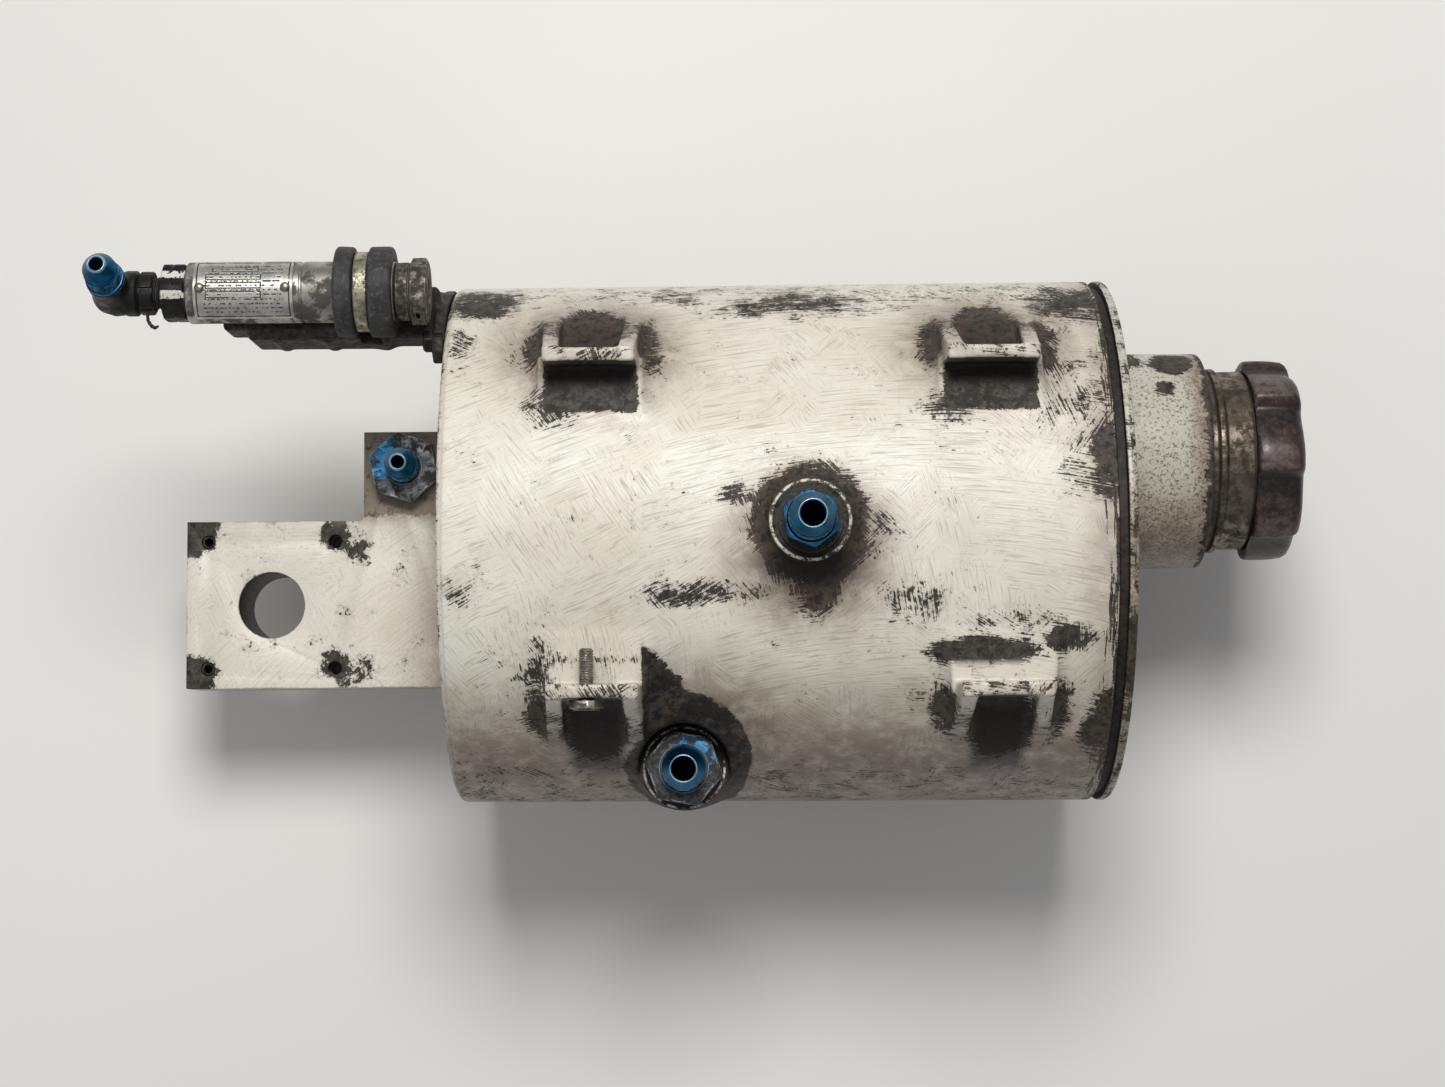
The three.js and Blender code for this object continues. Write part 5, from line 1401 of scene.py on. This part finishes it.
def curved_plate(name, span, inner, thick, half_angle, corner):
    """A thin plate with rounded corners, bent round the valve body."""
    rows, wide = 44, 40
    points, faces = [], []
    for layer, radius in enumerate((inner, inner + thick)):
        for i in range(rows + 1):
            x = span.x0 + (span.x1 - span.x0) * i / rows
            end = min(x - span.x0, span.x1 - x)
            less = corner - math.sqrt(max(0.0, corner ** 2 - max(0.0, corner - end) ** 2))
            reach = math.radians(half_angle) - less / radius
            for j in range(wide + 1):
                a = reach * (2 * j / wide - 1)
                points.append((x, VALVE.y + radius * math.sin(a), VALVE.z + radius * math.cos(a)))
    step, layer = wide + 1, (rows + 1) * (wide + 1)
    for i in range(rows):
        for j in range(wide):
            a = i * step + j
            faces += [[a, a + 1, a + step + 1, a + step],
                      [layer + a, layer + a + step, layer + a + step + 1, layer + a + 1]]
    rim = [i * step for i in range(rows + 1)] + [rows * step + j for j in range(1, wide + 1)]
    rim += [i * step + wide for i in range(rows - 1, -1, -1)] + [j for j in range(wide - 1, 0, -1)]
    faces += [[a, b, layer + b, layer + a] for a, b in zip(rim, rim[1:] + rim[:1])]
    return link(name, points, faces)


def drive_screw(node):
    s = Span(node)
    seat = s.z1 - 1.05
    profile = rounded([(s.z0, 0), (s.z0, 0.6, 0.1), (seat, 0.6), (seat, 1.55, 0.2), (seat + 0.6, 1.35, 0.5),
                       (s.z1, 0)], 5)
    return turned(node + "_head", "z", (s.x, s.y, 0), profile, 32)


def adapter():
    """The hexagon adapter in the valve's end: plug, hexagon and a threaded nose."""
    a = Span("valve_adapter")
    across = 17.5
    hex_x0, hex_x1 = a.x0 + 9.4, VALVE.x0 - 0.3
    corner = across / math.sqrt(3)
    rows = [(a.x0, 2.2), *spread([(a.x0, 4.7), (a.x0 + 0.5, 5.2), (hex_x0 - 0.6, 5.2), (hex_x0, 5.0)], 0.2),
            (hex_x0, across / 2 - 0.6), (hex_x0 + 0.5, (across / 2 + corner) / 2), (hex_x0 + 1.1, corner),
            (hex_x0 + 3.2, corner), (hex_x0 + 3.4, corner - 0.9), (hex_x0 + 3.9, corner - 0.9),
            (hex_x0 + 4.1, corner), (hex_x1 - 0.6, corner), (hex_x1, across / 2), (hex_x1, 6.3),
            (a.x1, 6.3), (a.x1, 2.2), (a.x0, 2.2)]
    hexed = hexagon(across, 0, 0.5)
    cut = screw_thread(1.27, 0.5, a.x0 + 0.5, hex_x0 - 0.5)

    def shape(angle, station, radius):
        if station >= hex_x0 and radius > across / 2 - 0.7:
            return hexed(angle, station, radius)
        return cut(angle, station, radius) if abs(radius - 5.2) < 0.05 else np.full(len(angle), radius)
    return turned("valve_adapter_hex", "x", (0, a.y, a.z), rows, 96, shape)


def lock_nut():
    n = Span("valve_lock_nut")
    outer = n.z1 - n.z
    profile = rounded([(n.x0, 5.4), (n.x0, outer, 0.8), (n.x1, outer, 0.8), (n.x1, 5.4, 0.2), (n.x0, 5.4)])
    notch = lambda angle, station, radius: np.where(
        np.cos(angle * 6) > 0.72, np.minimum(radius, outer - 0.7), radius)
    return turned("valve_lock_ring", "x", (0, n.y, n.z), profile, 120, notch)


def elbow_body():
    e = Span("valve_elbow")
    knee_x = e.x1 - KNEE_BACK
    y, z = VALVE.y, VALVE.z
    tilt = math.radians(ELBOW_TILT)
    up = np.array([0, math.sin(tilt), math.cos(tilt)])

    def field(p):
        arm = rod_field(p, "x", (0, y, z), 6.9, knee_x, e.x1, 0.7)
        band = rod_field(p, "x", (0, y, z), 7.3, e.x1 - 4.2, e.x1 - 0.2, 0.6)
        knee = np.linalg.norm(p - (knee_x, y, z), axis=-1) - 6.7
        q = p - np.array([knee_x, y, z])
        rise = q @ up
        out = np.sqrt(np.maximum((q ** 2).sum(-1) - rise ** 2, 0))
        post = np.maximum(out - 6.2, np.maximum(-rise, rise - 13.0))
        body = melt(melt(knee, np.minimum(arm, band), 1.6), post, 1.6)
        socket = rod_field(p, "x", (0, y, z), 5.5, knee_x + 6.8, e.x1 + 3)
        bore = np.maximum(out - 2.2, -rise)
        return hollow(hollow(body, socket, 0.3), bore, 0.3)
    return cast("valve_elbow_forging", field, (knee_x - 9, y - 9, z - 9), (e.x1 + 1.5, y + 12, z + 16), 0.42)


def elbow_nipple():
    e = Span("valve_elbow")
    reach = 26.0
    corners = nipple("valve_elbow_nipple", "z", (0, 0, 0), AN4, 11.6, 13.2, reach, 14.6, AN4["thread"] + 0.5)
    lean = Matrix.Rotation(-math.radians(ELBOW_TILT), 4, "X")
    corners.data.transform(Matrix.Translation(Vector((e.x1 - KNEE_BACK, VALVE.y, VALVE.z)) * MM) @ lean)
    return corners


def end_cap():
    c = Span("valve_end_cap")
    across = 19.4
    hex_x0 = VALVE.x1 + 0.3
    corner = across / math.sqrt(3)
    flange = hex_x0 + 4.6
    rows = [(c.x0, 0), (c.x0, 6.3), (hex_x0, 6.3), (hex_x0, 8.7), (hex_x0 + 0.5, 9.2), (flange - 0.6, 9.3),
            (flange - 0.2, 8.8), (flange, 8.8), (flange, across / 2 - 0.6), (flange + 0.6, corner - 0.5),
            (c.x1 - 1.5, corner), (c.x1 - 0.9, corner - 0.4), (c.x1 - 0.3, across / 2 + 0.2),
            (c.x1, across / 2 - 0.6),
            (c.x1, 4.0), (c.x1 - 1.0, 3.4), (c.x1 - 1.0, 0)]
    hexed = hexagon(across, 30, 0.3)
    cap = turned("valve_end_cap_hex", "x", (0, c.y, c.z), rows, 96,
                 only(lambda station, radius: station >= flange and radius > 7, hexed))
    return carve(cap, upright("wire", c.x1 - 3, c.y - 8.6, 0.8, c.z - 20, c.z + 20, 20))


def cushion():
    c = Span("clamp_cushion")
    band = Span("clamp_band")
    outer = c.z1 - c.z
    profile = rounded([(c.x0, 10.1), (c.x0, outer, 1.3), (band.x0 - 0.3, outer, 1.0),
                       (band.x0 - 0.25, 11.2, 0.2),
                       (band.x1 + 0.25, 11.2, 0.2), (band.x1 + 0.3, outer, 1.0), (c.x1, outer, 1.5),
                       (c.x1, 10.1, 0.4), (c.x0, 10.1)], 5)
    wave = lambda angle, station, radius: radius + 0.12 * np.sin(3 * angle + station) * (radius > 12)
    return turned("clamp_cushion_ring", "x", (0, c.y, c.z), profile, 120, wave)


def clamp_band():
    b = Span("clamp_band")
    inner, outer, wall, gap = 11.5, 12.8, 1.3, 2.4
    low, high = b.z0, VALVE.z - inner - 0.4
    screw = Span("clamp_screw")

    def field(p):
        loop = np.maximum(rod_field(p, "x", (0, b.y, VALVE.z), outer, b.x0, b.x1, 0.35),
                          -rod_field(p, "x", (0, b.y, VALVE.z), inner, b.x0 - 2, b.x1 + 2))
        ears = [box_field(p, (b.x0, b.y + y, low), (b.x1, b.y + y + wall, high), 0.3)
                for y in (-gap / 2 - wall, gap / 2)]
        split = box_field(p, (b.x0 - 1, b.y - gap / 2, low - 3), (b.x1 + 1, b.y + gap / 2, VALVE.z - 6))
        hole = rod_field(p, "y", (b.x, 0, screw.z), 1.2, b.y - 9, b.y + 9)
        joined = melt(melt(loop, ears[0], 1.2), ears[1], 1.2)
        return hollow(hollow(joined, split, 0.2), hole, 0.2)
    return cast("clamp_band_strap", field, (b.x0 - 1, b.y0 - 1, b.z0 - 1), (b.x1 + 1, b.y1 + 1, b.z1 + 1),
                0.36)


def clamp_screw():
    s = Span("clamp_screw")
    profile = rounded([(s.y0, 0), (s.y0, 1.6, 0.5), (s.y0 + 2, 1.7, 0.2), (s.y0 + 2, 0.9), (s.y1, 0.9, 0.2),
                       (s.y1, 0)])
    return turned("clamp_screw_body", "y", (s.x, 0, s.z), profile, 36)


def valve_arm():
    a = ARM
    z0, z1 = AXIS_Z + 20, AXIS_Z + 51.6
    full_x0, full_x1 = TANK.x0 - 65, TANK.x0 - 21
    slim_end = TANK.x0 - 3.2
    valve_z = VALVE.z
    cushion_x0 = Span("clamp_cushion").x0
    band, screw = Span("clamp_band"), Span("clamp_screw")
    section = [(64, z0 + 6), (69, z0), (80, z0), (85, z0 + 6), (85, z1 - 4), (82, z1), (67, z1), (64, z1 - 4)]
    ear = [(56, 47), (60.5, 44), (64, 26), (71, 7), (80, 7), (85.4, 14), (81.6, 30), (76, 43), (70, 50),
           (65, 57),
           (58, 58), (55, 53)]
    ear = [(y, z + AXIS_Z) for y, z in ear]
    flange_x1 = TANK.x0 - 0.3
    screws = [Span("arm_screw_upper"), Span("arm_screw_lower")]

    def field(p):
        u, v = p[..., 1], p[..., 2]
        main = plate_field(outline_field(u, v, section), p[..., 0], full_x0, full_x1, 1.2)
        tip = box_field(p, (a.x0, 67, AXIS_Z + 32), (full_x0 + 3, 81, z1 - 2), 1.5)
        slim = box_field(p, (full_x1 - 3, 65, z0 + 3), (slim_end, 82, AXIS_Z + 44), 2.0)
        flange = plate_field(outline_field(u, v, ear), p[..., 0], flange_x1 - 3.9, flange_x1, 0.8)
        body = melt(melt(melt(main, tip, 3), slim, 4), flange, 3)
        ribs = [box_field(p, (x, 63.6, z0 + 5), (x + 2.6, 84.6, z1 - 6), 1.0) for x in (full_x0 + 8,
                                                                                        full_x0 + 24)]
        body = melt(melt(body, ribs[0], 1.5), ribs[1], 1.5)
        saddle = rod_field(p, "x", (0, VALVE.y, valve_z), VALVE_R + 0.3, a.x0 - 3, cushion_x0 - 0.6)
        room = rod_field(p, "x", (0, VALVE.y, valve_z), 15.1, cushion_x0 - 1, 0)
        notch = box_field(p, (band.x0 - 1.2, 60, screw.z - 5), (band.x1 + 1.2, 90, z1 + 8))
        body = hollow(hollow(hollow(body, saddle, 0.5), room, 0.8), notch, 0.8)
        for s in screws:
            body = hollow(body, rod_field(p, "x", (0, s.y, s.z), 2.4, flange_x1 - 15, flange_x1 + 1), 0.3)
        return body
    return cast("valve_arm_casting", field, (a.x0 - 1, 53, AXIS_Z + 5), (flange_x1 + 1, 88, z1 + 12), 0.72)


def arm_screw(node):
    s = Span(node)
    across = 7.0
    corner = across / math.sqrt(3)
    head = s.x0 + 2.8
    rows = [(s.x0, 0), (s.x0, across / 2 - 0.4), (s.x0 + 0.6, corner), (head - 0.2, corner),
            (head, across / 2),
            (head, 2.1), (s.x1 - 0.3, 2.1), (s.x1, 1.8), (s.x1, 0)]
    hexed = hexagon(across, 0, 0.15)
    return turned(node + "_bolt", "x", (0, s.y, s.z), rows, 60,
                  only(lambda station, radius: radius > 2.5, hexed))


def lock_wire():
    """Two strands of lock wire twisted together, hanging from the valve's lock ring."""
    ring = Span("valve_lock_nut")
    start = np.array([ring.x0 + 2.4, VALVE.y - 7.9, VALVE.z + 2])
    bends = np.array([(0, 0.8, 0), (0, 0, 0), (0.3, -1.4, 0.5), (1.2, -2.8, 0.5), (2.2, -3.5, 0),
                      (3.2, -3.3, 0.4)])
    knots = np.linspace(0, 1, len(bends))
    t = np.linspace(0, 1, 90)
    middle = np.stack([np.interp(t, knots, bends[:, k]) for k in range(3)], 1)
    for _ in range(6):
        middle[1:-1] = (middle[:-2] + middle[1:-1] * 2 + middle[2:]) / 4
    strands = []
    for phase in (0, math.pi):
        twist = t * math.tau * 3 + phase
        off = 0.4 * np.stack([np.cos(twist) * 0.4, np.cos(twist) * 0.6, np.sin(twist)], 1)
        strands.append(tube("lock_wire_twist", start + middle + off, 0.38, 10))
    first, second = strands
    shape = bmesh.new()
    for strand in strands:
        shape.from_mesh(strand.data)
    shape.to_mesh(first.data)
    shape.free()
    bpy.data.objects.remove(second)
    return first


def relief_coil():
    """The relief spring: six turns of wire, the end turns closed up."""
    s = Span("valve_spring")
    wire, coil_r, turns, closed = 0.6, 3.6, 6, 1.25
    run = s.x1 - s.x0 - 2 * wire
    t = np.linspace(0, turns, turns * 32 + 1)
    x = s.x0 + wire + np.interp(t, (0, 1, turns - 1, turns), (0, closed, run - closed, run))
    y = VALVE.y + coil_r * np.cos(t * math.tau)
    z = VALVE.z + coil_r * np.sin(t * math.tau)
    return tube("valve_spring_coil", np.stack([x, y, z], 1), wire, 12)


def build_spring():
    s = Span("valve_spring")
    coil = relief_coil()
    add(coil, "tank", "spring_steel", "wire", "valve_spring")
    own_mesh(coil)


def build_valve():
    add(valve_arm(), "tank", "dark_casting", "casting", "valve_arm", smooth=CAST)
    for node in ("arm_screw_upper", "arm_screw_lower"):
        add(arm_screw(node), "tank", "black_finish", "black", node)
    add(valve_tube(), "tank", "valve_metal", "valve", "valve_body")
    plate = Span("valve_nameplate")
    add(curved_plate("valve_nameplate_sheet", plate, VALVE_R + 0.12, 0.5, 62, 1.6), "tank", "plate_metal",
        "plate",
        "valve_nameplate")
    for node in ("nameplate_screw_left", "nameplate_screw_right"):
        add(drive_screw(node), "tank", "plate_metal", "steel", node)
    add(adapter(), "tank", "black_finish", "painted", "valve_adapter")
    add(lock_nut(), "tank", "black_finish", "black", "valve_lock_nut")
    add(elbow_body(), "tank", "black_finish", "black", "valve_elbow", smooth=CAST)
    add(elbow_nipple(), "tank", "blue_anodise", "blue")
    add(end_cap(), "tank", "valve_metal", "cap", "valve_end_cap")
    add(cushion(), "tank", "cushion_rubber", "cushion", "clamp_cushion")
    add(clamp_band(), "tank", "band_metal", "band", "clamp_band", smooth=CAST)
    add(clamp_screw(), "tank", "steel", "steel", "clamp_screw")
    add(lock_wire(), "tank", "spring_steel", "oily_steel", "lock_wire")


# ---------------------------------------------------------------- drain plug and inner parts
def drain_plug():
    d = Span("drain_plug")
    seat = d.z0 + 4
    profile = rounded([(d.z0, 0), (d.z0, 9, 0.8), (seat, 9, 0.3), (seat, 7, 0.2), (d.z1 - 1, 7, 0.2),
                       (d.z1, 6, 0.2),
                       (d.z1, 0)])
    plug = turned("drain_plug_body", "z", (d.x, d.y, 0), profile, 72)
    socket = turned("socket", "z", (d.x, d.y, 0),
                    [(d.z0 - 1, 0), (d.z0 - 1, 6), (d.z0 + 3.4, 6), (d.z0 + 3.4, 0)], 60,
                    hexagon(8, 0, 0.1))
    return soften(carve(plug, socket), 0.25, 2, CAST)


def build_small():
    add(lug_bolt(), "bolt", "steel", "steel", "lug_bolt")
    add(nut("clamp_screw_nut", "y", Span("clamp_nut"), 3.6, 1.0, 0, 0.3), "tank", "steel", "steel",
        "clamp_nut")
    add(drain_plug(), "tank", "worn_metal", "nut", "drain_plug")
    d = Span("drain_plug_seal")
    ring = rounded([(d.z0, 7.3), (d.z0, 9, 0.3), (d.z1, 9, 0.3), (d.z1, 7.3, 0.2), (d.z0, 7.3)])
    add(turned("drain_seal_ring", "z", (d.x, d.y, 0), ring, 72), "tank", "seal_rubber", "seal",
        "drain_plug_seal")


def finish_cad():
    """The inner CAD nodes that stay get their finishes."""
    shown = {o.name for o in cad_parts.values() if not o.hide_render}
    for node in sorted(shown):
        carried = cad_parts[node]
        carried.data.materials.clear()
        carried.data.materials.append(FINISHES[CAD_FINISH[node]])


# ---------------------------------------------------------------- stage
def floor():
    f = Finish("studio_floor")
    tone = f.mix(f.step(f.noise(400, 2, 0.5), 0.3, 0.7), "f2f0ec", "edebe7")
    surface = f.done(tone, 0.85, 0.0)
    half = 2600
    made = link("floor", [(-half, -half, 0), (half, -half, 0), (half, half, 0), (-half, half, 0)],
                [[0, 1, 2, 3]])
    made.data.materials.append(surface)
    if made.data.polygons[0].normal.z < 0:
        made.data.flip_normals()


def soft_light(name, place, aim, size, power, colour=(1, 1, 1)):
    data = bpy.data.lights.new(name, "AREA")
    data.shape, data.size, data.energy, data.color = "DISK", size, power, colour
    lamp = bpy.data.objects.new(name, data)
    lamp.location = place
    lamp.rotation_euler = (Vector(aim) - Vector(place)).to_track_quat("-Z", "Y").to_euler()
    bpy.context.scene.collection.objects.link(lamp)


def studio():
    scene = bpy.context.scene
    world = bpy.data.worlds.new("studio")
    world.use_nodes = True
    world.node_tree.nodes["Background"].inputs["Color"].default_value = (0.93, 0.95, 1.0, 1)
    world.node_tree.nodes["Background"].inputs["Strength"].default_value = 0.26
    scene.world = world
    scene.view_settings.view_transform = "Standard"
    soft_light("key", (0.0, 0.62, 1.35), (0, 0, 0.08), 0.56, 15, (1, 0.985, 0.96))
    soft_light("fill", (-0.7, -0.5, 1.1), (0, 0, 0.08), 1.2, 1.4)


def camera():
    data = bpy.data.cameras.new("camera")
    data.sensor_width = 36
    data.lens = 66.3
    data.clip_end = 20
    made = bpy.data.objects.new("camera", data)
    eye = Vector((-0.0201, -0.0697, 0.9973))
    aim = Vector((-0.0201, 0, 0.091))
    look = (aim - eye).to_track_quat("-Z", "Y")
    roll = Matrix.Rotation(math.radians(-0.45), 4, "Z")
    made.matrix_world = Matrix.Translation(eye) @ look.to_matrix().to_4x4() @ roll
    bpy.context.scene.collection.objects.link(made)
    bpy.context.scene.camera = made


camera()
studio()
floor()
build_tank()
build_filler()
build_ports()
build_block()
build_valve()
build_spring()
build_small()
finish_cad()
